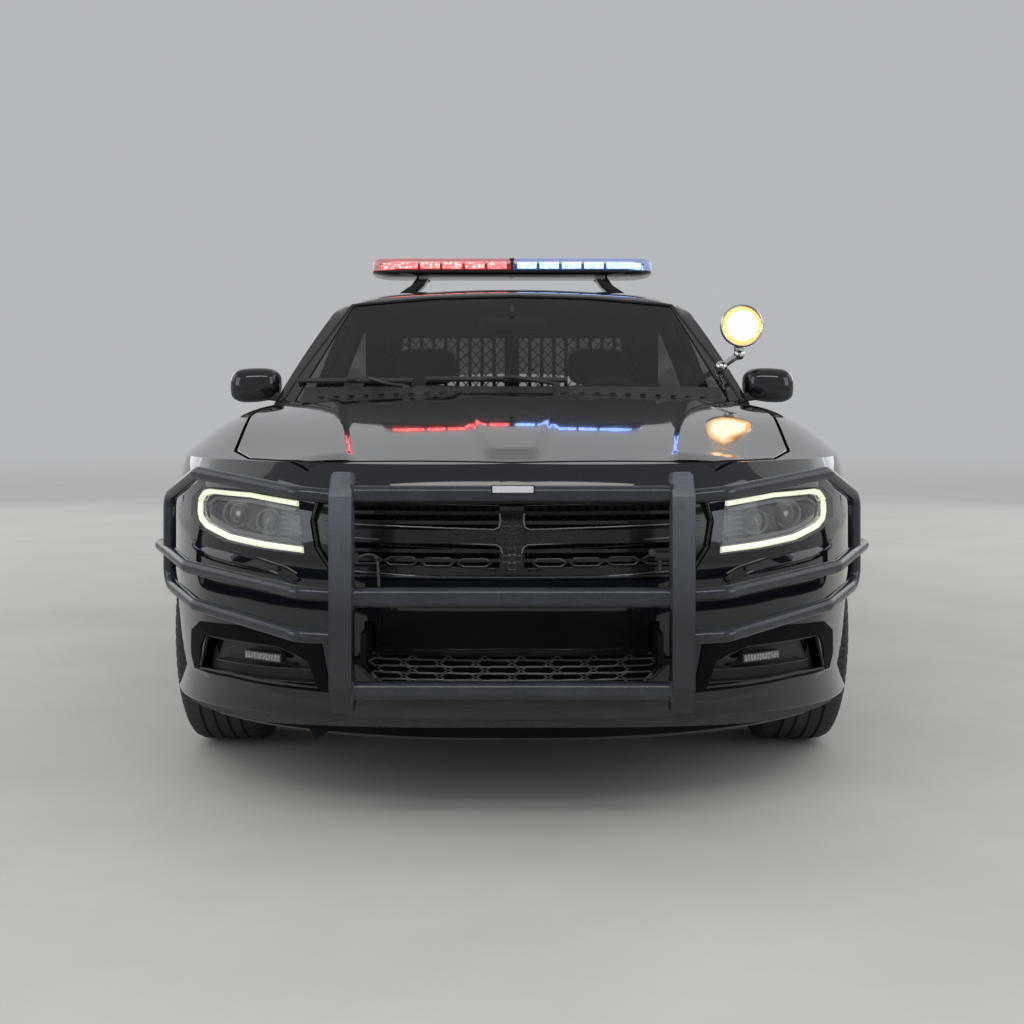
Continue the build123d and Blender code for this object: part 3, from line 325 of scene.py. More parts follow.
def on_both_doors(obj, name, place, node=None):
    """Fixes a driver's-side piece to its door, and its mirror image to the door across the car."""
    for side, piece in (("right", flipped(obj)), ("left", obj)):
        stands_for = (f"{node}_{side}",) if node else ()
        placed(piece, f"{name}_{side}", f"door_{place}_{side}", None, stands_for)


def merged(node):
    """A copy of a CAD sub-part, its loose triangles joined."""
    obj = linked("copy_" + node, nodes[node].data.copy())
    edited(obj, ("remove_doubles", {"threshold": WELD}))
    only(obj)
    if obj.data.has_custom_normals:
        bpy.ops.mesh.customdata_custom_splitnormals_clear()
    return smoothed(obj, 30.0)


def without(obj, drop):
    """Deletes the faces that a test picks."""
    only(obj)
    bpy.ops.object.mode_set(mode="EDIT")
    bpy.ops.mesh.select_mode(type="FACE")
    bpy.ops.mesh.select_all(action="DESELECT")
    bpy.ops.object.mode_set(mode="OBJECT")
    for face in obj.data.polygons:
        face.select = drop(face)
    bpy.ops.object.mode_set(mode="EDIT")
    bpy.ops.mesh.delete(type="FACE")
    bpy.ops.object.mode_set(mode="OBJECT")
    return obj


# Finishes


class Value:
    """A number or colour carried by a socket, so that sums of them read plainly."""

    def __init__(self, finish, socket):
        self.finish = finish
        self.socket = socket

    def sum(self, operation, a, b):
        return self.finish.add("ShaderNodeMath", {"operation": operation}, {0: a, 1: b})

    def __add__(self, other):
        return self.sum("ADD", self, other)

    def __radd__(self, other):
        return self.sum("ADD", other, self)

    def __sub__(self, other):
        return self.sum("SUBTRACT", self, other)

    def __rsub__(self, other):
        return self.sum("SUBTRACT", other, self)

    def __mul__(self, other):
        return self.sum("MULTIPLY", self, other)

    def __rmul__(self, other):
        return self.sum("MULTIPLY", other, self)


class Finish:
    """A node material, built up from noise and cells over the object's own coordinates."""

    def __init__(self, name):
        self.material = bpy.data.materials.new(name)
        self.material.use_nodes = True
        self.tree = self.material.node_tree
        self.tree.nodes.clear()
        self.spot = self.add("ShaderNodeTexCoord", output="Object")

    def put(self, socket, value):
        if isinstance(value, Value):
            self.tree.links.new(value.socket, socket)
        else:
            socket.default_value = value

    def add(self, kind, settings=None, inputs=None, output=0):
        node = self.tree.nodes.new(kind)
        for name, value in (settings or {}).items():
            setattr(node, name, value)
        for name, value in (inputs or {}).items():
            self.put(node.inputs[name], value)
        return Value(self, node.outputs[output])

    def stretched(self, x, y, z):
        return self.add("ShaderNodeMapping", {}, {"Vector": self.spot, "Scale": (x, y, z)})

    def noise(self, scale, detail=3.0, rough=0.5, spot=None):
        inputs = {"Vector": spot or self.spot, "Scale": scale, "Detail": detail, "Roughness": rough}
        return self.add("ShaderNodeTexNoise", {}, inputs)

    def cells(self, scale):
        return self.add("ShaderNodeTexVoronoi", {"feature": "F1"}, {"Vector": self.spot, "Scale": scale})

    def height(self):
        return self.add("ShaderNodeSeparateXYZ", {}, {0: self.spot}, 2)

    def span(self, value, low, high, start=0.0, end=1.0):
        inputs = {"Value": value, "From Min": low, "From Max": high, "To Min": start, "To Max": end}
        return self.add("ShaderNodeMapRange", {"clamp": True}, inputs)

    def blend(self, factor, a, b):
        return self.add("ShaderNodeMix", {"data_type": "RGBA"}, {0: factor, 6: a, 7: b}, 2)

    def rounding(self, radius):
        return self.add("ShaderNodeBevel", {"samples": 4}, {"Radius": radius})

    def bump(self, height, strength, distance, normal=None):
        inputs = {"Height": height, "Strength": strength, "Distance": distance}
        if normal:
            inputs["Normal"] = normal
        return self.add("ShaderNodeBump", {}, inputs)

    def surface(self, **inputs):
        renamed = {name.replace("_", " ").title().replace("Ior", "IOR"): value
                   for name, value in inputs.items()}
        return self.add("ShaderNodeBsdfPrincipled", {}, renamed)

    def done(self, shader):
        output = self.tree.nodes.new("ShaderNodeOutputMaterial")
        self.tree.links.new(shader.socket, output.inputs["Surface"])
        return self.material


def rgb(r, g, b):
    """A colour with full cover."""
    return (r, g, b, 1.0)


def surface(name, colour, second, rough, spread, grain=400.0, depth=0.0004, metallic=0.0, coat=0.0,
            patches=6.0, dust=0.0, dirt=0.0, rounding=0.0, specular=0.5):
    """A general finish: patchy colour, uneven gloss, a fine grain, and dust or road dirt low down."""
    f = Finish(name)
    cloud = f.noise(patches, 5.0, 0.6)
    fine = f.noise(grain, 2.0, 0.5)
    base = f.blend(f.span(cloud, 0.3, 0.7), rgb(*colour), rgb(*second))
    gloss = f.span(cloud + 0.5 * fine, 0.4, 1.1, rough - spread, rough + spread)
    if dust:
        specks = f.span(f.noise(160.0, 6.0, 0.75), 0.52, 0.75) * dust
        base = f.blend(specks, base, rgb(0.20, 0.18, 0.155))
        gloss = gloss + 0.45 * specks
    if dirt:
        low = f.span(f.height(), 0.52, 0.17) * f.span(f.noise(14.0, 8.0, 0.7), 0.35, 0.7) * dirt
        base = f.blend(low, base, rgb(0.085, 0.072, 0.058))
        gloss = gloss + 0.5 * low
    normal = f.rounding(rounding) if rounding else None
    bumped = f.bump(fine, 0.5, depth, normal)
    return f.done(f.surface(base_color=base, roughness=gloss, metallic=metallic, coat_weight=coat,
                            coat_roughness=0.04, specular_ior_level=specular, normal=bumped))


def brushed(name, colour, rough, scratches=0.3):
    """Bare metal with drawn scratches and dulled patches."""
    f = Finish(name)
    lines = f.noise(60.0, 4.0, 0.6, f.stretched(1.0, 1.0, 14.0))
    cloud = f.noise(9.0, 4.0, 0.6)
    base = f.blend(f.span(cloud, 0.3, 0.75), rgb(*colour), rgb(*[c * 0.7 for c in colour]))
    gloss = f.span(lines + cloud, 0.6, 1.4, rough, rough + scratches)
    return f.done(f.surface(base_color=base, roughness=gloss, metallic=1.0,
                            normal=f.bump(lines, 0.15, 0.0003)))


def glowing(name, colour, hot, strength, cell=90.0):
    """A lit lamp with brighter spots of light in it."""
    f = Finish(name)
    spots = f.span(f.cells(cell), 0.0, 0.55, 1.0, 0.0)
    light = f.blend(spots, rgb(*colour), rgb(*hot))
    return f.done(f.surface(base_color=light, roughness=0.25, emission_color=light,
                            emission_strength=strength))


def clear(name, tint, alpha, reflect=1.0, rough=0.02, dusty=0.0):
    """Clear or tinted glass or plastic: a dark see-through body under a mirror-like face."""
    f = Finish(name)
    smear = f.noise(7.0, 6.0, 0.65)
    film = f.span(smear, 0.4, 0.75, rough, rough + 0.05 + dusty)
    cover = f.span(smear, 0.35, 0.8, alpha, min(1.0, alpha + 0.05 + dusty))
    body = f.surface(base_color=rgb(*tint), roughness=film, alpha=cover, specular_ior_level=0.0)
    shine = f.surface(base_color=rgb(1.0, 1.0, 1.0), roughness=film, metallic=1.0)
    outer = 1.0 - f.add("ShaderNodeNewGeometry", {}, {}, "Backfacing")
    edge = f.add("ShaderNodeFresnel", {}, {"IOR": 1.5}) * reflect * outer
    return f.done(f.add("ShaderNodeMixShader", {}, {0: edge, 1: body, 2: shine}))


def upright_finish():
    """Satin paint, painted lighter and bluer towards the top as a sky highlight, with clouded scuffs and
    dark pits.
    """
    f = Finish("upright_paint_with_painted_top_highlight")
    cloud = f.noise(22.0, 6.0, 0.65)
    pits = f.span(f.noise(230.0, 3.0, 0.6), 0.60, 0.72)
    # Painted highlight: the colour turns a lighter, bluish grey towards the top, where the sky lights the
    # uprights.
    rise = f.span(f.height() + 0.06 * cloud, 0.53, 0.78)
    base = f.blend(rise, rgb(0.016, 0.019, 0.024), rgb(0.085, 0.095, 0.112))
    base = f.blend(f.span(cloud, 0.45, 0.75) * 0.55, base, rgb(0.018, 0.020, 0.024))
    base = f.blend(pits * 0.8, base, rgb(0.011, 0.011, 0.012))
    gloss = f.span(cloud, 0.30, 0.70, 0.26, 0.46)
    return f.done(f.surface(base_color=base, roughness=gloss,
                            normal=f.bump(pits, 0.4, 0.0004, f.rounding(0.006))))


paint = surface("gloss_black_paint", (0.0035, 0.0048, 0.0075), (0.0055, 0.0068, 0.010), 0.07, 0.03, 900.0,
                0.00004, coat=1.0, patches=3.0, dust=0.04, dirt=0.20, rounding=0.0025, specular=0.05)
# Satin black for the push bumper, tinted blue as a painted reflection of the sky; its dust and low road dirt
# are real.
powder = surface("worn_satin_black_painted_sky_tint", (0.011, 0.015, 0.021), (0.020, 0.026, 0.035), 0.18, 0.06, 520.0, 0.0002,
                 patches=12.0, dust=0.12, dirt=0.16, rounding=0.002)
upright_paint = upright_finish()
matt_black = surface("matt_black_plastic", (0.0028, 0.0031, 0.0036), (0.0060, 0.0064, 0.0072), 0.60, 0.08,
                     500.0, 0.0005, dust=0.02, specular=0.04)
grained = surface("grained_black_plastic", (0.010, 0.010, 0.011), (0.018, 0.018, 0.019), 0.55, 0.08, 620.0,
                  0.0007, dust=0.18, dirt=0.5)
gloss_trim = surface("gloss_black_plastic", (0.006, 0.006, 0.007), (0.010, 0.010, 0.012), 0.16, 0.05, 900.0,
                     0.0001, coat=0.3, dust=0.08, rounding=0.002, specular=0.25)
rubber = surface("black_rubber", (0.010, 0.010, 0.010), (0.020, 0.019, 0.018), 0.72, 0.08, 420.0, 0.0006,
                 dust=0.15)
tyre_rubber = surface("tyre_rubber", (0.012, 0.012, 0.012), (0.026, 0.025, 0.023), 0.74, 0.10, 350.0, 0.0012,
                      patches=18.0, dust=0.30, dirt=0.35)
wheel_paint = surface("satin_black_steel", (0.014, 0.014, 0.015), (0.024, 0.024, 0.025), 0.38, 0.08, 700.0,
                      0.0003, dust=0.30, dirt=0.30, rounding=0.002)
chrome = brushed("polished_chrome", (0.72, 0.73, 0.75), 0.06, 0.08)
steel = brushed("bare_steel", (0.40, 0.39, 0.38), 0.28, 0.25)
cast = surface("cast_metal", (0.16, 0.16, 0.155), (0.09, 0.085, 0.08), 0.55, 0.12, 260.0, 0.0016,
               metallic=0.7, dust=0.35)
underbody = surface("underbody_coating", (0.018, 0.018, 0.017), (0.035, 0.033, 0.030), 0.75, 0.1, 180.0,
                    0.002, dust=0.25, dirt=0.6)
trim = surface("cabin_plastic", (0.016, 0.016, 0.017), (0.024, 0.024, 0.025), 0.60, 0.06, 800.0, 0.0006,
               dust=0.08)
carpet = surface("carpet", (0.020, 0.020, 0.021), (0.034, 0.033, 0.032), 0.95, 0.04, 900.0, 0.003, dust=0.25)
cloth = surface("seat_cloth", (0.022, 0.023, 0.026), (0.036, 0.037, 0.041), 0.90, 0.05, 1100.0, 0.0012,
                dust=0.12)
label = surface("pale_label", (0.62, 0.63, 0.64), (0.50, 0.51, 0.53), 0.35, 0.08, 500.0, 0.0002, dust=0.25)
reflector = brushed("lamp_reflector", (0.50, 0.51, 0.53), 0.12, 0.12)
grey_bezel = surface("grey_lamp_bezel", (0.11, 0.115, 0.12), (0.16, 0.165, 0.17), 0.30, 0.06, 700.0, 0.0003,
                     metallic=0.4)
tinted = clear("window_glass", (0.006, 0.009, 0.010), 0.34, 0.55)
dark_tint = clear("dark_window_glass", (0.004, 0.005, 0.006), 0.55, 0.6)
# Brighter metal for thin lines that paint the highlights along the grille bars' edges.
painted_highlight_trim = brushed("painted_edge_highlight_trim", (0.24, 0.25, 0.27), 0.14, 0.12)
cell_trim = surface("satin_cell_trim", (0.026, 0.028, 0.031), (0.042, 0.044, 0.048), 0.30, 0.08, 500.0,
                    0.0003, dust=0.12)
lens_clear = clear("clear_lens", (0.55, 0.57, 0.58), 0.04, 0.6, 0.02, 0.04)
lens_red = clear("red_lens", (0.35, 0.008, 0.010), 0.72, 1.0, 0.04)
lens_amber = clear("amber_lens", (0.60, 0.18, 0.02), 0.75, 1.0, 0.05)
bar_red_lens = clear("red_bar_lens", (0.75, 0.03, 0.04), 0.35, 1.0, 0.03)
bar_blue_lens = clear("blue_bar_lens", (0.10, 0.22, 0.95), 0.25, 1.0, 0.03)
day_light = glowing("daylight_lamp", (0.95, 1.0, 0.70), (1.0, 1.0, 0.88), 0.70)
red_light = glowing("red_flash", (1.0, 0.10, 0.10), (1.0, 0.62, 0.55), 3.4, 70.0)
blue_light = glowing("blue_flash", (0.22, 0.42, 1.0), (0.85, 0.93, 1.0), 3.6, 70.0)
warm_light = glowing("warm_spot_light", (1.0, 0.80, 0.50), (1.0, 0.96, 0.84), 1.6, 40.0)
warm_rim = glowing("warm_spot_rim", (1.0, 0.45, 0.12), (1.0, 0.62, 0.26), 1.1, 60.0)
white_strobe = glowing("white_strobe", (0.16, 0.165, 0.17), (0.34, 0.35, 0.36), 0.25, 160.0)
silvered = brushed("mirror_silver", (0.80, 0.82, 0.84), 0.02, 0.03)


# The car's skin


def skin_tree(*names):
    """The faces of some CAD sub-parts, for finding where a ray meets them."""
    points, faces = [], []
    for name in names:
        mesh = nodes[name].data
        base = len(points)
        points += [v.co.copy() for v in mesh.vertices]
        faces += [[base + i for i in p.vertices] for p in mesh.polygons]
    return BVHTree.FromPolygons(points, faces)


shell = skin_tree("body_frame", "bonnet", "boot_lid", "door_front_left", "door_front_right",
                  "door_rear_left", "door_rear_right", "fender_left", "fender_right", "front_fascia",
                  "rear_fascia", "front_lamps", "tail_lamps", "windshield", "rear_window",
                  "glass_front_left", "glass_front_right", "glass_rear_left", "glass_rear_right")

WATERLINES = ((0.185, 0.902, 0.118), (0.300, 0.930, 0.042), (0.560, 0.946, 0.0), (0.760, 0.938, 0.030),
              (0.940, 0.885, 0.150), (1.130, 0.795, 0.320))


def nose_y(x, z):
    """Where the nose's surface lies ahead of the front axle."""
    z = max(WATERLINES[0][0], min(WATERLINES[-1][0], z))
    for (low, w_low, b_low), (high, w_high, b_high) in zip(WATERLINES, WATERLINES[1:]):
        if z <= high:
            t = (z - low) / (high - low)
            break
    wide, back = w_low + (w_high - w_low) * t, b_low + (b_high - b_low) * t
    part = min(abs(x) / wide, 0.9999)
    return FRONT_AXLE_Y - (NOSE_REACH - back) * (1 - part ** NOSE_POWER) ** (1 / NOSE_POWER)


def on_nose(x, z, out=0.0):
    """A point on the nose, carried outwards square to the surface."""
    y = nose_y(x, z)
    step = 0.002
    slope = (nose_y(x + step, z) - nose_y(x - step, z)) / (2 * step)
    away = Vector((slope, -1.0, 0.0)).normalized()
    return Vector((x, y, z)) + away * out


def side_x(y, z, side=1.0, out=0.0):
    """Where the car's side lies at a place along it."""
    hit = shell.ray_cast(Vector((1.4 * side, y, z)), Vector((-side, 0, 0)))[0]
    return (abs(hit.x) if hit else 0.9) * side + out * side


def top_z(x, y, out=0.0):
    """Where the car's upper surface lies."""
    hit = shell.ray_cast(Vector((x, y, 2.2)), Vector((0, 0, -1)))[0]
    return (hit.z if hit else 0.9) + out


def tail_y(x, z, out=0.0):
    """Where the tail's surface lies."""
    hit = shell.ray_cast(Vector((x, 3.2, z)), Vector((0, -1, 0)))[0]
    return (hit.y if hit else 2.5) + out


def both(obj):
    """A piece of the driver's side with its mirror image."""
    return joined(obj, flipped(obj))


# Painted panels


def faces_inwards(face):
    """True for a face that looks into the cabin."""
    x, y, z = face.center
    away = Vector((x, 0.0, z - 0.85))
    if z < 0.30 or not -0.99 < y < 1.75 or away.length < 0.2:
        return False
    return face.normal.dot(away.normalized()) < -0.35


def painted(node, body, lined=False):
    """A body panel in gloss paint, its cabin side in plastic trim."""
    obj = merged(node)
    coated(obj, paint)
    if lined:
        obj.data.materials.append(trim)
        for face in obj.data.polygons:
            if faces_inwards(face):
                face.material_index = 1
    return placed(obj, "painted_" + node, body, None, (node,))


painted("body_frame", "car", True)
painted("bonnet", "bonnet")
painted("boot_lid", "boot_lid")
painted("fender_left", "car")
painted("fender_right", "car")
painted("front_fascia", "car")
painted("rear_fascia", "car")
for place in ("front", "rear"):
    for name, side in SIDES:
        painted(f"door_{place}_{name}", f"door_{place}_{name}", True)

# Glass
placed(merged("windshield"), "screen_glass", "car", tinted, ("windshield",))
placed(merged("rear_window"), "backlight_glass", "car", dark_tint, ("rear_window",))
for name, side in SIDES:
    placed(merged(f"glass_front_{name}"), f"pane_front_{name}", f"door_front_{name}", tinted,
           (f"glass_front_{name}",))
    placed(merged(f"glass_rear_{name}"), f"pane_rear_{name}", f"door_rear_{name}", dark_tint,
           (f"glass_rear_{name}",))

# Sub-parts that keep their own shape and take a finish
for node, material in (("engine", cast), ("radiator", cast), ("exhaust", steel),
                       ("front_suspension", underbody), ("rear_suspension", underbody),
                       ("knuckle_left", cast), ("knuckle_right", cast), ("platform", underbody),
                       ("wheel_liners", underbody)):
    nodes[node].data.materials.clear()
    nodes[node].data.materials.append(material)


# Bonnet skin with its pressed lines

BONNET_SIDE = ((-2.189, 0.640), (-2.049, 0.705), (-1.511, 0.772), (-0.931, 0.786))


def along(table, value):
    """A value read from a table of (place, value) pairs."""
    if value <= table[0][0]:
        return table[0][1]
    for (a, p), (b, q) in zip(table, table[1:]):
        if value <= b:
            return p + (q - p) * (value - a) / (b - a)
    return table[-1][1]


def ridge(distance, width):
    """A rounded step from 0 to 1 over a width."""
    t = max(0.0, min(1.0, distance / width + 0.5))
    return t * t * (3 - 2 * t)


def press(x, y):
    """Height of the pressed lines: a raised middle band, and shoulders beyond two outer creases."""
    x = abs(x)
    t = max(0.0, min(1.0, (y + 2.30) / 1.25))
    middle = 0.060 + 0.130 * t
    outer = 0.385 + 0.185 * t
    fade = min(1.0, max(0.0, (y + 2.36) / 0.10)) * min(1.0, max(0.0, (-0.975 - y) / 0.06))
    rise = 0.0090 * (1.0 - ridge(x - middle, 0.022))
    rise += 0.0085 * ridge(x - outer, 0.030) * (1.0 - ridge(x - outer - 0.11, 0.16))
    return rise * fade


def bonnet_skin():
    """The bonnet's upper skin as a grid over its outline."""
    across, down = 150, 80
    front = ((0.0, -2.380), (0.48, -2.311), (0.64, -2.187))
    rows = []
    for j in range(down + 1):
        v = j / down
        side_y = -2.187 + (-0.935 + 2.187) * v
        wide = along(BONNET_SIDE, side_y) - 0.002
        row = []
        for i in range(across + 1):
            u = -1.0 + 2.0 * i / across
            start = along(front, 0.64 * abs(u))
            end = -1.018 + 0.083 * abs(u)
            x, y = u * wide, start + (end - start) * v
            row.append(Vector((x, y, 0.0)))
        rows.append(row)
    tree = skin_tree("bonnet")
    for row in rows:
        for p in row:
            x, y = p.x * 0.9985, max(-2.378 + 0.145 * abs(p.x), min(p.y, -0.94))
            hit = tree.ray_cast(Vector((x, p.y, 2.0)), Vector((0, 0, -1)))[0]
            if hit is None:
                hit = tree.ray_cast(Vector((x * 0.995, y, 2.0)), Vector((0, 0, -1)))[0]
            p.z = hit.z if hit else 0.85
    passes = 6
    for _ in range(passes):
        flat = [[p.z for p in row] for row in rows]
        for j in range(1, down):
            for i in range(1, across):
                near = flat[j - 1][i] + flat[j + 1][i] + flat[j][i - 1] + flat[j][i + 1]
                rows[j][i].z = 0.5 * flat[j][i] + 0.125 * near
    points, faces = [], []
    for row in rows:
        for p in row:
            points.append((p.x, p.y, p.z + 0.0012 + press(p.x, p.y)))
    count = across + 1
    for j in range(down):
        for i in range(across):
            a = j * count + i
            faces.append((a, a + 1, a + count + 1, a + count))
    return smoothed(modified(drawn(points, faces), "SOLIDIFY", thickness=0.0032, offset=-1.0), 35.0)


placed(bonnet_skin(), "bonnet_pressed_skin", "bonnet", paint)


# Push bumper


def rounded_uprights(obj):
    """Rounds the front and top edges of the two uprights and narrows their tops."""
    edited(obj, ("dissolve_limited", {"angle_limit": math.radians(0.5)}))
    only(obj)
    bpy.ops.object.mode_set(mode="EDIT")
    bpy.ops.mesh.select_mode(type="EDGE")
    bpy.ops.mesh.select_all(action="DESELECT")
    bpy.ops.mesh.edges_select_sharp(sharpness=math.radians(50.0))
    bpy.ops.object.mode_set(mode="OBJECT")
    for edge in obj.data.edges:
        ends = [obj.data.vertices[n].co for n in edge.vertices]
        inside = all(UPRIGHT_INNER_X < abs(p.x) < UPRIGHT_OUTER_X and p.y < -2.46 for p in ends)
        upper = all(p.z > 0.765 for p in ends)
        front = all(p.y < GUARD_FRONT_Y + 0.002 for p in ends)
        edge.select = edge.select and inside and (upper or front)
    bpy.ops.object.mode_set(mode="EDIT")
    bpy.ops.mesh.bevel(offset=0.010, segments=4, affect="EDGES", clamp_overlap=True)
    bpy.ops.object.mode_set(mode="OBJECT")
    for vertex in obj.data.vertices:
        x, z = abs(vertex.co.x), vertex.co.z
        if z > CROWN_Z and UPRIGHT_INNER_X < x < UPRIGHT_OUTER_X:
            taper = 1.0 - 0.40 * ((z - CROWN_Z) / CROWN_HEIGHT) ** 2
            narrowed = UPRIGHT_X + (x - UPRIGHT_X) * taper
            vertex.co.x = math.copysign(narrowed, vertex.co.x)
    return obj


def push_bumper():
    """The push bumper's frame, with its middle bars sagging a little from use."""
    obj = smoothed(rounded_uprights(merged("push_bumper")))
    bar_end = 0.352
    for vertex in obj.data.vertices:
        x, y, z = vertex.co
        if abs(x) < bar_end and y < -2.50:
            bow = 1.0 - (x / bar_end) ** 2
            if z < 0.40:
                vertex.co.z -= 0.006 * bow
            elif z < 0.60:
                vertex.co.z -= 0.003 * bow
    coated(obj, powder)
    obj.data.materials.append(upright_paint)
    obj.data.materials.append(matt_black)
    for face in obj.data.polygons:
        x, y, z = face.center
        inner_plate = abs(x) < UPRIGHT_INNER_X and 0.385 < z < 0.485
        # Faces set back behind the bars, the mounting plates, are matt black as painted shade of the dark
        # gap behind the bumper.
        if inner_plate or y > -2.50 and abs(x) < 0.40:
            face.material_index = 2
        elif UPRIGHT_INNER_X < abs(x) < UPRIGHT_OUTER_X + 0.002:
            face.material_index = 1
    pieces = [obj]
    y = GUARD_FRONT_Y + 0.012
    for z in (0.773, 0.546, 0.342):
        for side in (-1, 1):
            collar = block((side * 0.349 - 0.004, y - 0.003, z - 0.024),
                           (side * 0.349 + 0.004, y + 0.046, z + 0.024), 0.003)
            pieces.append(coated(smoothed(collar), powder))
    for side in (-1, 1):
        for z in (0.425, 0.450):
            head = rod((side * 0.3370, y + 0.070, z), (side * 0.3250, y + 0.070, z), 0.009, 6, 0.001)
            pieces.append(coated(head, steel))
    return joined(*pieces)


placed(push_bumper(), "push_bumper_frame", "car", None, ("push_bumper",))
plate = block((-0.043, GUARD_FRONT_Y + 0.0085, 0.7765), (0.047, GUARD_FRONT_Y + 0.0135, 0.7915), 0.0024, 3)
plate_edge = block((-0.046, GUARD_FRONT_Y + 0.0100, 0.7740), (0.050, GUARD_FRONT_Y + 0.0140, 0.7940), 0.002)
placed([coated(plate, label), coated(plate_edge, gloss_trim)], "push_bumper_label", "car", None)


# Grille and lower intake


def comb(cells, size, depth, wall):
    """A honeycomb from its cell centres, each a six-sided ring set into the nose."""
    points, faces = [], []
    for x, z, back in cells:
        base = len(points)
        y = nose_y(x, z) + back
        for radius, deep in ((size, 0.0), (size - wall, 0.0), (size - wall, depth), (size, depth)):
            for n in range(6):
                a = math.radians(60 * n + 30)
                points.append((x + radius * math.cos(a), y + deep, z + radius * math.sin(a) * 0.86))
        for ring in range(4):
            for n in range(6):
                a, b = base + ring * 6, base + (ring + 1) % 4 * 6
                m = (n + 1) % 6
                faces.append((a + n, a + m, b + m, b + n))
    return edited(drawn(points, faces), ("normals_make_consistent", {"inside": False}))


def within(x, z, outline):
    """True if a point lies inside a right-half outline or its mirror image."""
    x = abs(x)
    low = min(p[1] for p in outline)
    high = max(p[1] for p in outline)
    if not low < z < high:
        return False
    table = sorted((p[1], p[0]) for p in outline)
    return x < along(table, z)


GRILLE = ((0.452, 0.748), (0.464, 0.700), (0.452, 0.640), (0.420, 0.595), (0.380, 0.578))


def comb_cells(outline, size, back):
    """Cell centres of a honeycomb that fills an outline."""
    cells = []
    pitch_x, pitch_z = size * 1.74, size * 1.32
    low = min(p[1] for p in outline)
    high = max(p[1] for p in outline)
    row = 0
    z = low + pitch_z * 0.4
    while z < high:
        shift = pitch_x / 2 if row % 2 else 0.0
        for n in range(-40, 41):
            x = n * pitch_x + shift
            if within(x, z, outline):
                cells.append((x, z, back))
        z += pitch_z
        row += 1
    return cells


def slot_line(points, radius, out):
    """A thin edge line along the nose."""
    return piped([on_nose(x, z, out) for x, z in walked(points, 12)], radius, 0.0, 8)


def wide_cell(x, z, half, tall, out, radius):
    """A long six-sided frame, drawn as a thin line."""
    corners = ((-half, 0.0), (-half * 0.68, tall), (half * 0.68, tall), (half, 0.0), (half * 0.68, -tall),
               (-half * 0.68, -tall))
    path = [on_nose(x + dx, z + dz, out) for dx, dz in walked(corners, 3, True)]
    return piped(path, radius, 0.0, 6, True)


def cross_bar(side):
    """The bar between two bright lines of painted highlight, from the middle column out to the grille's
    edge.
    """
    low = ((0.024, 0.640), (0.034, 0.652), (0.280, 0.660), (0.440, 0.669))
    high = ((0.024, 0.702), (0.034, 0.686), (0.358, 0.695), (0.452, 0.704))
    loops = []
    for n in range(25):
        x = 0.024 + (0.452 - 0.024) * n / 24
        a, b = along(low, x), along(high, x)
        loops.append([on_nose(side * x, a, -0.014), on_nose(side * x, a, -0.008),
                      on_nose(side * x, (a + b) / 2, -0.004), on_nose(side * x, b, -0.008),
                      on_nose(side * x, b, -0.014)])
    return smoothed(lofted(loops), 40.0)


def grille():
    """The upper grille: slotted panel, cross bar with its edges drawn as bright lines of painted highlight,
    long cells and a middle column.
    """
    pieces = [coated(without(merged("grille"), lambda face: face.center.z < 0.50), gloss_trim)]
    pieces.append(coated(comb(comb_cells(GRILLE, 0.0125, 0.034), 0.0125, 0.008, 0.0026), matt_black))
    for side in (1, -1):
        upper = [(0.028, 0.722), (0.026, 0.704), (0.030, 0.690), (0.042, 0.686), (0.358, 0.695),
                 (0.440, 0.705)]
        lower = [(0.022, 0.632), (0.026, 0.646), (0.036, 0.652), (0.280, 0.660), (0.430, 0.669)]
        second = [(0.034, 0.628), (0.042, 0.638), (0.056, 0.641), (0.190, 0.645), (0.300, 0.650)]
        foot = [(0.000, 0.5765), (0.150, 0.579), (0.268, 0.583), (0.380, 0.590)]
        crown = [(0.030, 0.740), (0.240, 0.744), (0.440, 0.746)]
        # The upper, lower and foot lines are in brighter metal as painted edge highlights.
        for path, radius, finish in ((upper, 0.0024, painted_highlight_trim), (lower, 0.0022, painted_highlight_trim),
                                     (second, 0.0014, gloss_trim), (foot, 0.0024, painted_highlight_trim),
                                     (crown, 0.0016, gloss_trim)):
            pieces.append(coated(slot_line([(side * x, z) for x, z in path], radius, 0.0010), finish))
        pieces.append(coated(cross_bar(side), gloss_trim))
        for n in range(4):
            pieces.append(coated(wide_cell(side * (0.085 + 0.0835 * n), 0.6115 + 0.0015 * n, 0.0385, 0.0085,
                                           0.0006, 0.0018), cell_trim))
        bar = [on_nose(side * (0.036 + 0.032 * n), 0.5965 + 0.0008 * n, -0.007) for n in range(12)]
        pieces.append(coated(piped(bar, 0.0045, 0.0, 8), gloss_trim))
    for n in range(6):
        z = 0.604 + 0.0165 * n
        for x in ((-0.0125, 0.0125) if n % 2 else (0.0,)):
            pieces.append(coated(wide_cell(x, z, 0.0110, 0.0072, 0.0012, 0.0014), cell_trim))
    rim = [on_nose(x, z, 0.001) for x, z in GRILLE] + [on_nose(-x, z, 0.001) for x, z in GRILLE[::-1]]
    fine = []
    for a, b in zip(rim, rim[1:] + rim[:1]):
        for n in range(14):
            p = a + (b - a) * n / 14
            fine.append(on_nose(p.x, p.z, 0.001))
    pieces.append(coated(piped(fine, 0.0050, 0.0, 8, True), gloss_trim))
    return joined(*pieces)


placed(grille(), "grille_assembly", "car", None, ("grille",))


def outward(x, z):
    """The nose's outward direction."""
    return (on_nose(x, z, 1.0) - on_nose(x, z, 0.0)).normalized()


fascia_tree = skin_tree("front_fascia")


def skin_lift(x, z):
    """How far the painted bumper skin stands out from the plain nose line, or nothing over a recess."""
    place, away = on_nose(x, z, 0.0), outward(x, z)
    hit = fascia_tree.ray_cast(place + away * 0.2, -away)[0]
    lift = -1.0 if hit is None else (hit - place).dot(away)
    return lift if lift > -0.012 else 0.0


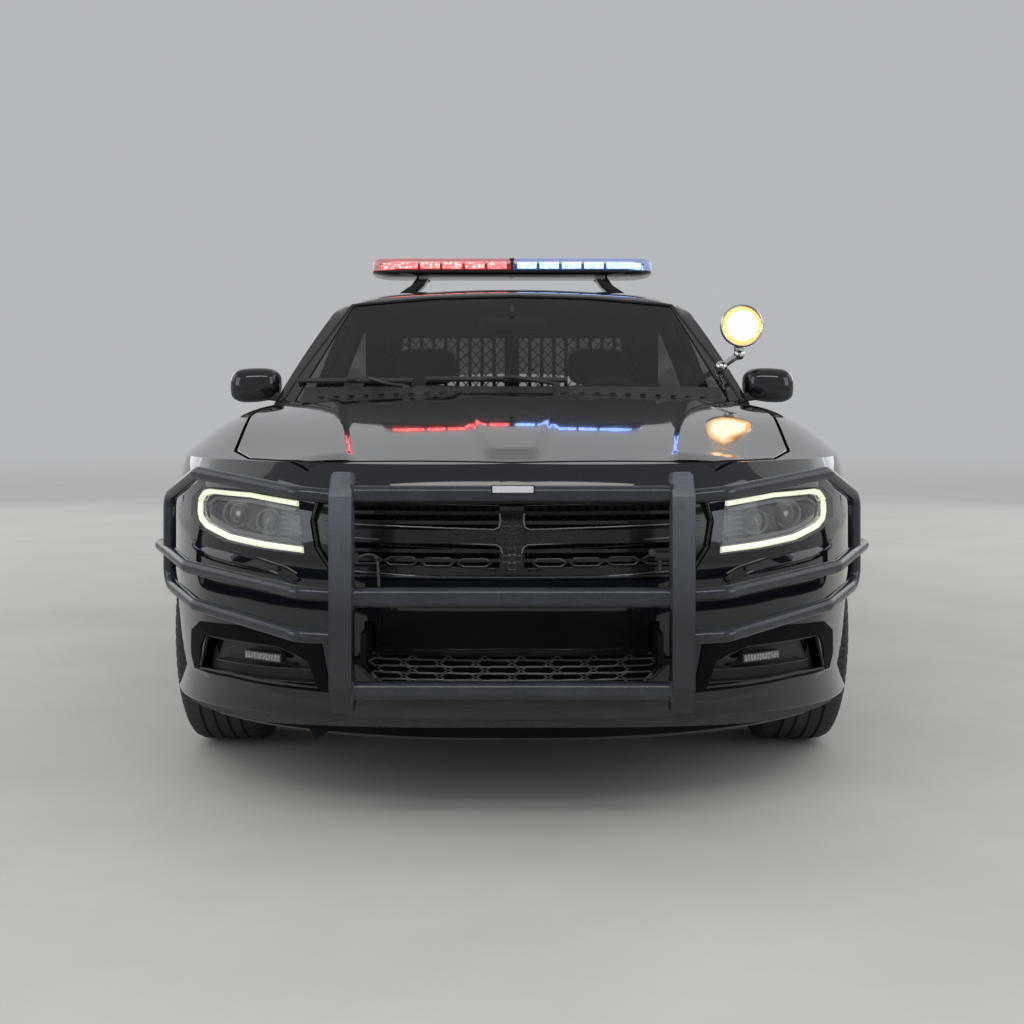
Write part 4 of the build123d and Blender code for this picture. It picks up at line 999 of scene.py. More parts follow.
def lower_intake():
    """The lower intake's net of long cells, its dark backing, and the flat dark panel above it."""
    pieces = []
    for row, z in enumerate((0.331, 0.347, 0.363, 0.379, 0.395)):
        start = -8 if row % 2 else -8.5
        for n in range(18):
            x = (start + n) * 0.0415
            if row % 2 == n % 2 and abs(x) < along(((0.324, 0.270), (0.370, 0.318), (0.400, 0.322)), z):
                pieces.append(coated(wide_cell(x, z, 0.0400, 0.0085, -0.002, 0.0021), cell_trim))
    rows = []
    for z in (0.322, 0.345, 0.372, 0.399):
        half = along(((0.322, 0.300), (0.370, 0.348), (0.400, 0.350)), z)
        rows.append([on_nose(half * (n - 8) / 8, z, -0.020) for n in range(17)])
    deep = [[p + Vector((0, 0.010, 0)) for p in row] for row in rows]
    pieces.append(coated(smoothed(lofted([a + b[::-1] for a, b in zip(rows, deep)])), matt_black))
    rows = []
    for z, lift in ((0.412, -0.004), (0.420, 0.003), (0.500, 0.003), (0.508, -0.004)):
        places = [-0.290 + 0.029 * n for n in range(21)]
        rows.append([on_nose(x, z, skin_lift(x, z) + lift) for x in places])
    back = [[p + Vector((0, 0.012, 0)) for p in row] for row in rows]
    pieces.append(coated(smoothed(lofted([a + b[::-1] for a, b in zip(rows, back)])), matt_black))
    for path in ([(-0.36, 0.402), (0.36, 0.402)], [(-0.357, 0.400), (-0.356, 0.370), (-0.308, 0.321)],
                 [(0.357, 0.400), (0.356, 0.370), (0.308, 0.321)], [(-0.308, 0.321), (0.308, 0.321)]):
        pieces.append(coated(slot_line(path, 0.0050, 0.001), grained))
    return joined(*pieces)


placed(lower_intake(), "lower_intake_mesh", "car", None)


# Headlamps

lamp_tree = skin_tree("front_lamps")


def on_skin(face):
    """True for a lamp's outer face, flush with the nose."""
    away = outward(face.center.x, face.center.z)
    if face.normal.dot(away) < 0.4:
        return False
    hit = lamp_tree.ray_cast(face.center + away * 0.2, -away)[0]
    return hit is not None and (hit - face.center).length < 0.001


def headlamps():
    """Clear lenses over black buckets with a lit C-shaped line, a projector and its reflector."""
    lens = without(merged("front_lamps"), lambda face: not on_skin(face))
    modified(lens, "SOLIDIFY", thickness=0.0025, offset=-1.0)
    bucket = without(merged("front_lamps"), on_skin)
    edited(bucket, ("flip_normals", {}))
    modified(bucket, "SOLIDIFY", thickness=0.0012, offset=-1.0)
    placed(smoothed(lens), "headlamp_lenses", "car", lens_clear, ("front_lamps",))
    placed(smoothed(bucket), "headlamp_buckets", "car", gloss_trim)

    def line(points, deep, steps):
        return [on_nose(x, z, -deep) for x, z in walked(points, steps)]

    c_line = [(0.512, 0.7385), (0.640, 0.7545), (0.762, 0.7570), (0.790, 0.7500), (0.806, 0.731),
              (0.806, 0.700), (0.799, 0.683), (0.778, 0.6690), (0.700, 0.6480), (0.600, 0.6375),
              (0.496, 0.6300)]
    glow = piped(line(c_line, 0.015, 6), 0.0074, 0.0, 10)
    seat = piped(line(c_line, 0.029, 6), 0.0120, 0.0, 10)
    placed(both(glow), "headlamp_day_lines", "car", day_light)
    trims = [coated(seat, reflector)]
    # Projector with its ring and a side reflector bowl
    for x, z, radius in ((0.712, 0.703, 0.030), (0.612, 0.690, 0.027)):
        centre = on_nose(x, z, -0.045)
        ring = turned([(-0.004, radius + 0.006), (-0.009, radius + 0.004), (-0.009, radius),
                       (0.004, radius - 0.003), (0.018, radius - 0.006), (0.018, radius + 0.004)], centre,
                      40)
        trims.append(coated(smoothed(ring, 40.0), grey_bezel))
        eye = ball(centre + Vector((0, 0.010, 0)), radius - 0.003, (1.0, 0.55, 1.0), 28)
        trims.append(coated(smoothed(eye, 60.0), lens_clear))
        bowl = turned([(0.012, radius - 0.004), (0.030, 0.006), (0.032, 0.006), (0.014, radius)], centre, 32)
        trims.append(coated(smoothed(bowl, 60.0), reflector))
        core = ball(centre + Vector((0, 0.018, 0)), 0.012, (1.0, 0.5, 1.0), 16)
        trims.append(coated(smoothed(core, 60.0), silvered))
    # Grey bezel that steps round the inside
    step_line = [(0.520, 0.722), (0.640, 0.738), (0.752, 0.739), (0.786, 0.720), (0.782, 0.690),
                 (0.700, 0.662), (0.600, 0.652), (0.508, 0.645)]
    trims.append(coated(smoothed(swept(line(step_line, 0.030, 4), [(-0.004, -0.006), (0.012, -0.004),
                                                                   (0.012, 0.004), (-0.004, 0.006)])),
                        grey_bezel))
    for n in range(5):
        z = 0.662 + 0.013 * n
        fin = line([(0.515, z), (0.565, z + 0.002)], 0.030, 4)
        trims.append(coated(piped(fin, 0.0022, 0.0, 6), grey_bezel))
    lamp = joined(*trims)
    placed(both(lamp), "headlamp_insides", "car", None)
    # Rubber seal round each lens
    edge = [(0.500, 0.747), (0.632, 0.763), (0.778, 0.766), (0.819, 0.736), (0.817, 0.690), (0.781, 0.664),
            (0.705, 0.640), (0.599, 0.629), (0.482, 0.622)]
    ring = line(edge + edge[:1], 0.003, 8)[:-1]
    placed(both(piped(ring, 0.0032, 0.0, 8, True)), "headlamp_seals", "car", rubber)


headlamps()


# Nose details


def crease(points, radius, sunk):
    """A soft raised line pressed into the nose, as a rod sunk in the surface."""
    path = [on_nose(x, z, -sunk) for x, z in walked(points, 6)]
    path = eased(path[::3] + path[-1:], 0.02, 3)
    return piped(path, radius, 0.0, 12)


def ledge():
    """The narrow ledge that sweeps round below a headlamp, for the driver's side."""
    stations = ((0.846, 0.672, 0.846, 0.664, 0.000), (0.798, 0.639, 0.800, 0.622, 0.006),
                (0.732, 0.622, 0.735, 0.602, 0.012), (0.660, 0.611, 0.660, 0.594, 0.014),
                (0.600, 0.602, 0.600, 0.588, 0.014), (0.555, 0.594, 0.553, 0.580, 0.013),
                (0.527, 0.587, 0.522, 0.568, 0.008), (0.500, 0.575, 0.500, 0.556, 0.003),
                (0.482, 0.556, 0.487, 0.543, 0.000))
    loops = []
    for a, b in zip(stations, stations[1:]):
        for n in range(5):
            x1, z1, x2, z2, reach = [p + (q - p) * n / 5 for p, q in zip(a, b)]
            loops.append([on_nose(x1, z1, -0.004), on_nose(x1, z1, 0.001),
                          on_nose((x1 + x2) / 2, (z1 + z2) / 2, reach * 0.55),
                          on_nose(x2, z2 + 0.002, reach), on_nose(x2, z2 - 0.002, reach),
                          on_nose(x2, z2 - 0.010, 0.001), on_nose(x2, z2 - 0.012, -0.004)])
    return smoothed(lofted(loops), 40.0)


def nose_lines():
    """The pressed lines below each headlamp."""
    upper = [(0.845, 0.668), (0.798, 0.641), (0.732, 0.625), (0.600, 0.606), (0.527, 0.590), (0.500, 0.576)]
    side = [(0.845, 0.668), (0.860, 0.700), (0.862, 0.735)]
    return both(coated(joined(ledge(), crease(upper, 0.0085, 0.0052), crease(side, 0.0075, 0.0048)), paint))


placed(nose_lines(), "nose_pressed_lines", "car", None)
sensor_place = on_nose(0.771, 0.541, 0.0)
sensor_out = outward(0.771, 0.541)
sensor = rod(sensor_place - sensor_out * 0.004, sensor_place + sensor_out * 0.002, 0.0115, 24, 0.001)
sensor_ring = rod(sensor_place - sensor_out * 0.004, sensor_place + sensor_out * 0.001, 0.0145, 24, 0.001)
placed(both(joined(coated(sensor, grained), coated(sensor_ring, gloss_trim))), "nose_sensors", "car", None)


def fog_nook():
    """A dark lined recess with two vanes and a small white strobe, for the driver's side."""
    pieces = []
    corners = ((0.762, 0.398), (0.552, 0.400), (0.476, 0.372), (0.452, 0.306), (0.700, 0.312),
               (0.796, 0.302))
    loop = walked(corners, 8, True)
    rim = [on_nose(x, z, -0.002) for x, z in loop]
    pieces.append(coated(piped(rim, 0.0045, 0.0, 8, True), grained))
    cx, cz, deep = 0.62, 0.350, 0.0325
    backs = [[on_nose(cx + (x - cx) * k, cz + (z - cz) * k, -deep) for x, z in loop]
             for k in (1.0, 0.75, 0.5, 0.25, 0.05)]
    fronts = [[p + outward(p.x, p.z) * 0.002 for p in ring] for ring in backs]
    pieces.append(coated(smoothed(lofted(backs[::-1] + fronts)), grained))
    for (x0, z0, x1, z1) in ((0.470, 0.349, 0.735, 0.340), (0.461, 0.318, 0.748, 0.308)):
        path = [on_nose(x0 + (x1 - x0) * n / 12, z0 + (z1 - z0) * n / 12, -0.014) for n in range(13)]
        vane = swept(path, [(-0.016, -0.0030), (0.012, -0.0016), (0.012, 0.0016), (-0.016, 0.0030)])
        pieces.append(coated(smoothed(vane), gloss_trim))
    x0, x1, z = 0.548, 0.647, 0.3695
    path = [on_nose(x0 + (x1 - x0) * n / 10, z, -0.010) for n in range(11)]
    case = swept(path, [(-0.010, -0.0105), (0.008, -0.0105), (0.008, 0.0105), (-0.010, 0.0105)])
    pieces.append(coated(smoothed(case), grained))
    for n in range(12):
        x = x0 + 0.006 + (x1 - x0 - 0.012) * n / 11
        place = on_nose(x, z, 0.0)
        rib = block((place.x - 0.0032, place.y - 0.0015, z - 0.0078),
                    (place.x + 0.0032, place.y + 0.006, z + 0.0078), 0.0014)
        pieces.append(coated(rib, white_strobe))
    return both(joined(*pieces))


placed(fog_nook(), "fog_recess_fittings", "car", None)


def fog_surround():
    """The wide matt frame with cut corners that lies round a fog recess, for the driver's side."""
    inner = ((0.760, 0.399), (0.660, 0.401), (0.552, 0.401), (0.500, 0.385), (0.472, 0.371), (0.460, 0.335),
             (0.452, 0.306), (0.570, 0.307), (0.700, 0.310), (0.796, 0.303), (0.790, 0.330), (0.778, 0.370))
    outer = ((0.778, 0.429), (0.668, 0.438), (0.556, 0.438), (0.484, 0.432), (0.438, 0.416), (0.428, 0.350),
             (0.420, 0.299), (0.570, 0.299), (0.700, 0.302), (0.818, 0.296), (0.826, 0.332), (0.816, 0.398))
    sections = []
    proud = 0.0035
    for (ix, iz), (ox, oz) in zip(walked(inner, 4, True), walked(outer, 4, True)):
        low, high = skin_lift(ox, oz), skin_lift(ix + (ox - ix) * 0.2, iz + (oz - iz) * 0.2)
        sections.append([on_nose(ox, oz, low - 0.004), on_nose(ox, oz, low + proud),
                         on_nose(ix, iz, high + proud), on_nose(ix, iz, -0.010)])
    return both(coated(smoothed(lofted(sections, True), 40.0), matt_black))


placed(fog_surround(), "fog_surrounds", "car", None)


def chin():
    """The spoiler shelf under the nose, its scuffed upright lip, and a matt black band below the lip's
    cut-back middle that paints the shadow under the lip.
    """
    steps = 64
    swing = 77.0
    half_width = 0.905
    shelf, lip, shade_band = [], [], []
    for n in range(steps + 1):
        a = math.radians(-swing + 2 * swing * n / steps)
        part = abs(math.sin(a)) ** (2 / NOSE_POWER) * (1 if a > 0 else -1)
        x = half_width * part
        # The lip sinks towards the corners, and its foot is cut back in the middle, where a matt black band
        # paints the shadow below it
        drop = 0.040 * (abs(x) / 0.90) ** 3
        top = on_nose(x * 1.010, 0.312 - drop * 0.2, -0.008)
        mid = on_nose(x, 0.282 - drop * 0.7, 0.012)
        edge = on_nose(x * 0.990, 0.250 - drop, 0.034)
        under = on_nose(x * 0.990, 0.243 - drop, 0.033)
        back = on_nose(x * 0.985, 0.240 - drop, -0.012)
        shelf.append([top, mid, edge, under, back])
        foot = 0.200 - 0.006 * math.cos(a * 3) - drop * 0.3
        split = foot + 0.030 * (1.0 - min(1.0, abs(x) / 0.62) ** 2)
        lip.append([on_nose(x * 0.985, 0.245 - drop, 0.026), on_nose(x * 0.982, split, 0.022),
                    on_nose(x * 0.978, split, 0.016), on_nose(x * 0.980, 0.245 - drop, 0.010)])
        shade_band.append([on_nose(x * 0.981, split + 0.006, 0.020), on_nose(x * 0.980, foot, 0.019),
                      on_nose(x * 0.978, foot, 0.015), on_nose(x * 0.979, split + 0.006, 0.013)])
    return smoothed(lofted(shelf), 40.0), smoothed(lofted(lip), 40.0), smoothed(lofted(shade_band), 40.0)


chin_shelf, chin_lip, chin_painted_shadow_band = chin()
torn_edge = [(-0.478, -2.320, 0.206), (-0.428, -2.343, 0.206), (-0.450, -2.348, 0.190),
             (-0.463, -2.335, 0.182)]
flap = solid(torn_edge + [(x, y + 0.004, z) for x, y, z in torn_edge],
             [(0, 1, 2, 3), (4, 7, 6, 5), (0, 4, 5, 1), (1, 5, 6, 2), (2, 6, 7, 3), (3, 7, 4, 0)])
worn = surface("scuffed_black_plastic", (0.014, 0.014, 0.014), (0.040, 0.038, 0.036), 0.62, 0.12, 240.0,
               0.0014, patches=26.0, dust=0.45, dirt=0.40)
placed(chin_shelf, "chin_shelf", "car", paint)
placed(chin_lip, "chin_lip", "car", worn)
# A matt black band painted as the shadow under the lip, joined with a torn flap.
placed([chin_painted_shadow_band, flap], "chin_painted_shadow_band", "car", matt_black)


# Light bar


def bar_loop(half, deep, corner, z):
    """A plan outline with round corners, at one height."""
    points = []
    for cx, cy, start in ((half - corner, deep - corner, 0), (-half + corner, deep - corner, 90),
                          (-half + corner, -deep + corner, 180), (half - corner, -deep + corner, 270)):
        for n in range(7):
            a = math.radians(start + 15 * n)
            points.append(Vector((cx + corner * math.cos(a), BAR_Y + cy + corner * math.sin(a), z)))
    return points


def half_lens(side):
    """One half of the bar's lens: closed round end, flat middle, domed top."""
    loops = []
    for z, inset in ((1.550, 0.002), (1.556, 0.0), (1.585, 0.0), (1.594, 0.004), (1.599, 0.012),
                     (1.6005, 0.026)):
        half, deep = BAR_HALF - inset, BAR_DEEP - inset
        corner = BAR_CORNER - inset * 0.5
        arc = [p for p in bar_loop(half, deep, corner, z) if p.x > 0.0]
        arc.sort(key=lambda p: math.atan2(p.y - BAR_Y, p.x - 0.2))
        arc = [Vector((0.004, BAR_Y - deep, z))] + arc + [Vector((0.004, BAR_Y + deep, z))]
        loops.append([Vector((p.x * side, p.y, p.z)) for p in arc])
    return lofted(loops)


def light_bar():
    """A flat light bar: black tray on two feet, one red and one blue lens, and lit modules inside."""
    tray_loops = [bar_loop(0.560, 0.128, 0.070, 1.5335), bar_loop(0.586, 0.148, BAR_CORNER, 1.5400),
                  bar_loop(BAR_HALF, BAR_DEEP, BAR_CORNER, 1.5500), bar_loop(0.580, 0.142, 0.084, 1.5520)]
    tray = smoothed(lofted(tray_loops), 40.0)
    hoops = []
    for side in (1, -1):
        for y in (0.186, 0.294):
            x = side * 0.372
            hoops.append(block((x - 0.020, y - 0.007, 1.520), (x + 0.020, y + 0.007, 1.542), 0.002))
    spine = block((-0.010, 0.092, 1.551), (0.010, 0.388, 1.600), 0.003)
    middle = block((-0.560, 0.200, 1.551), (0.560, 0.280, 1.588), 0.004)
    parts = [coated(tray, gloss_trim), coated(spine, gloss_trim), coated(middle, grained)]
    parts += [coated(hoop, steel) for hoop in hoops]
    placed(parts, "light_bar_tray", "car", None)
    feet = []
    for side in (1, -1):
        bottom = min(top_z(side * x, y) for x in (0.425, 0.455, 0.485) for y in (0.18, 0.24, 0.30)) - 0.001
        loops = []
        for inner, outer, front, back, z in ((0.345, 0.395, 0.180, 0.300, 1.538),
                                             (0.375, 0.425, 0.182, 0.298, 1.495),
                                             (0.418, 0.486, 0.180, 0.300, bottom)):
            loops.append([(side * inner, front, z), (side * outer, front, z), (side * outer, back, z),
                          (side * inner, back, z)])
        feet.append(smoothed(rounded_edges(lofted(loops), 0.004)))
    placed(feet, "light_bar_feet", "car", gloss_trim)
    placed(smoothed(half_lens(-1.0), 40.0), "light_bar_red_lens", "car", bar_red_lens,
           ("lightbar",))
    placed(smoothed(half_lens(1.0), 40.0), "light_bar_blue_lens", "car", bar_blue_lens)
    # Modules: a board with small domes, in front, behind and at the ends
    module = [block((-0.040, -0.006, -0.013), (0.040, 0.006, 0.013), 0.003)]
    for n in range(6):
        for row in (-0.006, 0.006):
            module.append(ball((-0.0325 + 0.013 * n, -0.0055, row), 0.0048, (1.0, 0.9, 1.0), 10))
    pattern = joined(*[smoothed(m) for m in module])
    for side, material, name in ((-1, red_light, "red"), (1, blue_light, "blue")):
        modules = []
        for n in range(5):
            x = side * (0.062 + 0.093 * n)
            modules.append(again(pattern, shifted(x, 0.107, MODULE_Z)))
            modules.append(again(pattern, shifted(x, 0.373, MODULE_Z) @ Matrix.Rotation(math.pi, 4, "Z")))
        for turn, x, y in ((side * 35, 0.506, 0.128), (side * 145, 0.506, 0.352), (side * 90, 0.552, 0.240)):
            spin = Matrix.Rotation(math.radians(turn), 4, "Z")
            modules.append(again(pattern, shifted(side * x, y, MODULE_Z) @ spin))
        placed(modules, f"light_bar_{name}_modules", "car", material)
    bpy.data.objects.remove(pattern)


light_bar()


# Spotlight


def spotlight():
    """A round lamp on a bent stem that leaves the screen pillar."""
    x, y, z = SPOT_PLACE
    steps = 56
    shell_profile = [(-0.050, 0.071), (-0.0525, 0.074), (-0.048, 0.0755), (-0.030, 0.0750), (-0.004, 0.070),
                     (0.020, 0.060), (0.038, 0.046), (0.048, 0.028), (0.0520, 0.010), (0.0522, 0.0001),
                     (0.046, 0.0001), (0.034, 0.036), (0.010, 0.058), (-0.020, 0.068)]
    housing = smoothed(turned(shell_profile, SPOT_PLACE, steps), 40.0)
    bezel = smoothed(turned([(-0.0535, 0.0690), (-0.0560, 0.0725), (-0.0530, 0.0765), (-0.0440, 0.0765),
                             (-0.0440, 0.0730)], SPOT_PLACE, steps), 60.0)
    lens_profile = [(-0.0500, 0.0700), (-0.0540, 0.0550), (-0.0570, 0.0360), (-0.0585, 0.0180),
                    (-0.0588, 0.0001), (-0.0540, 0.0001), (-0.0500, 0.0400), (-0.0470, 0.0700)]
    lamp = smoothed(turned(lens_profile, SPOT_PLACE, steps), 60.0)
    elbow = Vector((x, y + 0.006, z - 0.099))
    stem = [piped([(x, y + 0.004, z - 0.060), elbow, (0.742, -0.632, 1.112)], 0.0125, 0.02, 16)]
    stem.append(smoothed(ball(elbow, 0.0205), 60.0))
    stem.append(smoothed(ball((0.756, -0.637, 1.122), 0.024, (1.0, 1.0, 0.9)), 60.0))
    yoke = smoothed(rounded_edges(block((x - 0.018, y - 0.012, z - 0.088),
                                        (x + 0.018, y + 0.020, z - 0.066)), 0.004))
    stem.append(yoke)
    grip = [piped([(0.742, -0.632, 1.112), (0.700, -0.560, 1.085), (0.690, -0.520, 1.070)], 0.010, 0.02, 12)]
    placed([coated(housing, gloss_trim), coated(bezel, chrome), *[coated(s, chrome) for s in stem],
            *[coated(g, grained) for g in grip]], "spotlight_body", "car", None,
           ("spotlight",))
    coated(lamp, warm_light)
    lamp.data.materials.append(warm_rim)
    for face in lamp.data.polygons:
        if math.hypot(face.center.x - x, face.center.z - z) > 0.058:
            face.material_index = 1
    placed(lamp, "spotlight_lens", "car", None)


spotlight()


# Door mirrors


def mirror_head():
    """A rounded mirror shell with its glass, on an arm, for the driver's side."""
    loops = []
    count = 40
    cx, cz = 0.9215, 1.0560
    glass_scale = 0.905
    for y, scale in ((-0.724, 0.30), (-0.722, 0.50), (-0.714, 0.74), (-0.700, 0.89), (-0.680, 0.970),
                     (-0.650, 1.0), (-0.612, 0.985), (-0.606, 0.965), (-0.607, 0.915),
                     (-0.616, glass_scale)):
        loop = []
        for n in range(count):
            a = 2 * math.pi * n / count
            c, s = math.cos(a), math.sin(a)
            px = math.copysign(abs(c) ** (2 / 3.6), c)
            pz = math.copysign(abs(s) ** (2 / 3.0), s)
            taper = 1.0 - 0.13 * (px < 0) * abs(px) * (1.0 if pz < 0 else 0.4)
            loop.append((cx + px * 0.0895 * scale, y, cz + pz * 0.0620 * scale * taper - 0.004 * px))
        loops.append(loop)
    head = smoothed(lofted(loops), 45.0)
    coated(head, paint)
    head.data.materials.append(grained)
    for face in head.data.polygons:
        if face.center.z < 1.026 or face.center.y > -0.6165:
            face.material_index = 1
    glass_loops = []
    for y, scale in ((-0.6185, 0.90), (-0.6150, 0.895)):
        glass_loops.append([(cx + (p[0] - cx) * scale / glass_scale, y,
                             cz + (p[2] - cz) * scale / glass_scale)
                            for p in loops[-1]])
    glass = coated(lofted(glass_loops), silvered)
    arm_loops = []
    for x, low, high, front, rear in ((0.800, 0.994, 1.026, -0.700, -0.634),
                                      (0.838, 0.996, 1.028, -0.694, -0.640),
                                      (0.868, 1.000, 1.036, -0.690, -0.645),
                                      (0.900, 1.006, 1.044, -0.688, -0.650)):
        arm_loops.append([(x, front + 0.008, low), (x, front, (low + high) / 2), (x, front + 0.008, high),
                          (x, rear - 0.008, high), (x, rear, (low + high) / 2), (x, rear - 0.008, low)])
    arm = coated(smoothed(lofted(arm_loops), 60.0), grained)
    strip = coated(smoothed(ball((0.985, -0.700, 1.040), 0.018, (0.5, 0.55, 0.30), 16), 60.0), lens_amber)
    return joined(head, glass, arm, strip)


on_both_doors(mirror_head(), "mirror_head", "front", "mirror")


# Wheels and tyres


def tyre():
    """A tyre with rings, ribs and cross grooves, round the X axis, its outside towards +X."""
    # Each profile point: place across, radius, and kind (0 wall, 1 shoulder, 2 ring groove, 3 rib)
    profile = [(-0.100, 0.2263, 0), (-0.1065, 0.2330, 0), (-0.1095, 0.2480, 0), (-0.1118, 0.2700, 0),
               (-0.1125, 0.2950, 0), (-0.1118, 0.3140, 0), (-0.1110, 0.3200, 0), (-0.1095, 0.3215, 0),
               (-0.1100, 0.3300, 1), (-0.1040, 0.3440, 1), (-0.0960, 0.3545, 1), (-0.0800, 0.3615, 1),
               (-0.0600, 0.3630, 1), (-0.0565, 0.3628, 2), (-0.0550, 0.3560, 2), (-0.0490, 0.3560, 2),
               (-0.0475, 0.3632, 2), (-0.0220, 0.3635, 3), (-0.0205, 0.3565, 2), (-0.0145, 0.3565, 2),
               (-0.0130, 0.3635, 3)]
    profile += [(-x, r, kind) for x, r, kind in reversed(profile)]
    pitches, columns = 66, 4
    steps = pitches * columns
    loops = []
    for n in range(steps):
        column = n % columns
        loop = []
        for x, r, kind in profile:
            a = 2 * math.pi * (n / steps) + x * (0.3 if kind in (1, 3) else 0.0)
            depth = 0.0
            if column == 0 and kind == 1:
                depth = 0.0050
            if column == 2 and kind == 3:
                depth = 0.0035
            loop.append((x, (r - depth) * math.cos(a), (r - depth) * math.sin(a)))
        loops.append(loop)
    return smoothed(lofted(loops, ring=True), 28.0)


def wheel_trim():
    """A wheel's cap, nuts, rim edge and valve, its outside towards +X."""
    cap = turned([(0.044, 0.064), (0.072, 0.060), (0.0785, 0.050), (0.0800, 0.036), (0.0765, 0.030),
                  (0.0765, 0.0001), (0.040, 0.0001), (0.040, 0.064)], (0, 0, 0), 40, "X")
    badge = turned([(0.0765, 0.026), (0.0795, 0.024), (0.0800, 0.0001), (0.0760, 0.0001), (0.0760, 0.026)],
                   (0, 0, 0), 32, "X")
    parts = [coated(smoothed(cap, 40.0), chrome), coated(smoothed(badge, 40.0), gloss_trim)]
    nut = rod((0.044, 0, 0.083), (0.062, 0, 0.083), 0.0105, 6, 0.0015)
    for n in range(5):
        parts.append(coated(again(nut, spun(72.0 * n, "X", (0, 0, 0))), chrome))
    bpy.data.objects.remove(nut)
    rim = turned([(0.100, 0.2265), (0.1025, 0.2235), (0.1015, 0.2130), (0.098, 0.2105), (0.095, 0.2160),
                  (0.095, 0.2265)],
                 (0, 0, 0), 72, "X")
    parts.append(coated(smoothed(rim, 40.0), wheel_paint))
    valve = rod((0.060, 0, 0.192), (0.090, 0, 0.196), 0.0042, 10)
    parts.append(coated(valve, rubber))
    return joined(*parts)


tyre_shape = tyre()
trim_shape = wheel_trim()
for place, axle_y in (("front", FRONT_AXLE_Y), ("rear", REAR_AXLE_Y)):
    for name, side in SIDES:
        move = shifted(side * TRACK / 2, axle_y, TYRE_RADIUS)
        if side < 0:
            move = move @ Matrix.Rotation(math.pi, 4, "Z")
        body = f"wheel_{place}_{name}"
        placed(again(tyre_shape, move), f"treaded_tyre_{place}_{name}", body, tyre_rubber,
               (f"tyre_{place}_{name}",))
        placed(merged(f"wheel_{place}_{name}"), f"steel_wheel_{place}_{name}", body, wheel_paint,
               (f"wheel_{place}_{name}",))
        placed(again(trim_shape, move), f"wheel_trim_{place}_{name}", body, None)
bpy.data.objects.remove(tyre_shape)
bpy.data.objects.remove(trim_shape)


# Small fittings on the nose


def nose_fittings():
    """A loose cable and a bracket beside the grille, and bolt heads above the lowest bar."""
    cable = piped([(-0.350, -2.520, 0.627), (-0.328, -2.505, 0.636), (-0.308, -2.495, 0.634),
                   (-0.301, -2.492, 0.618), (-0.298, -2.500, 0.590), (-0.296, -2.512, 0.566)], 0.0034, 0.012,
                  10)
    clip = rounded_edges(block((-0.352, -2.530, 0.618), (-0.342, -2.500, 0.640)), 0.002)
    bracket = rounded_edges(block((0.318, -2.515, 0.628), (0.352, -2.500, 0.640)), 0.002)
    knob = smoothed(rod((0.312, -2.520, 0.640), (0.312, -2.492, 0.640), 0.008, 16, 0.002))
    stub = smoothed(rod((0.330, -2.506, 0.600), (0.330, -2.506, 0.630), 0.004, 12))
    pieces = [coated(cable, worn), coated(clip, worn), coated(bracket, worn), coated(knob, worn),
              coated(stub, worn)]
    for x in (-0.222, -0.178, 0.176, 0.215):
        place = on_nose(x, 0.318, 0.0)
        head = rod((x, place.y - 0.012, 0.318), (x, place.y + 0.004, 0.318), 0.0095, 6, 0.0015)
        washer = rod((x, place.y - 0.003, 0.318), (x, place.y + 0.004, 0.318), 0.0125, 20, 0.0008)
        pieces += [coated(head, steel), coated(washer, steel)]
    return joined(*pieces)


placed(nose_fittings(), "nose_fittings", "car", None)


# Wipers, cowl and screen edges


def screen_point(x, z, out):
    """A point on the front of the screen or its pillars."""
    hit, normal = shell.ray_cast(Vector((x, -3.0, z)), Vector((0, 1, 0)))[:2]
    if hit is None:
        return Vector((x, -0.9, z))
    if normal.y > 0:
        normal = -normal
    return hit + normal * out


def wiper(post, first, last, low, high):
    """An arm on its spindle and a blade that lies along the foot of the glass."""
    count = 14
    blade, rubber_line = [[screen_point(first + (last - first) * n / count, low + (high - low) * n / count,
                                        out)
                           for n in range(count + 1)] for out in (0.012, 0.005)]
    spindle = smoothed(rod((post[0], post[1], post[2] - 0.050), (post[0], post[1], post[2] + 0.010), 0.013,
                           20, 0.003))
    middle = blade[count // 2]
    elbow = Vector((post[0] - 0.06, post[1] + 0.004, post[2] + 0.014))
    arm = piped([Vector(post) + Vector((0, 0, 0.004)), elbow, middle + Vector((0.05, -0.004, 0.008)),
                 middle], 0.0065,
                0.03, 10)
    spoiler = smoothed(swept(blade, [(-0.006, -0.004), (0.006, -0.004), (0.004, 0.005), (-0.002, 0.008)]))
    lip = swept(rubber_line, [(-0.0015, -0.005), (0.0015, -0.005), (0.0015, 0.005), (-0.0015, 0.005)])
    saddle = smoothed(rounded_edges(block(middle - Vector((0.030, 0.008, 0.005)),
                                          middle + Vector((0.030, 0.008, 0.009))),
                                    0.003))
    return [coated(spindle, grained), coated(arm, grained), coated(spoiler, grained), coated(lip, rubber),
            coated(saddle, grained)]


placed(wiper((-0.36, -0.932, 1.040), -0.760, -0.340, 1.062, 1.058)
       + wiper((0.15, -0.962, 1.048), -0.300, 0.190, 1.064, 1.060), "screen_wipers", "car", None,
       ("wipers",))


def cowl_reach(x):
    """Where the cowl starts behind the bonnet's bowed rear edge, and where it ends at the glass."""
    start = -1.0045 + 0.083 * abs(x) / 0.786
    return start, screen_point(x, SCREEN_FOOT_Z, 0.0).y - 0.006


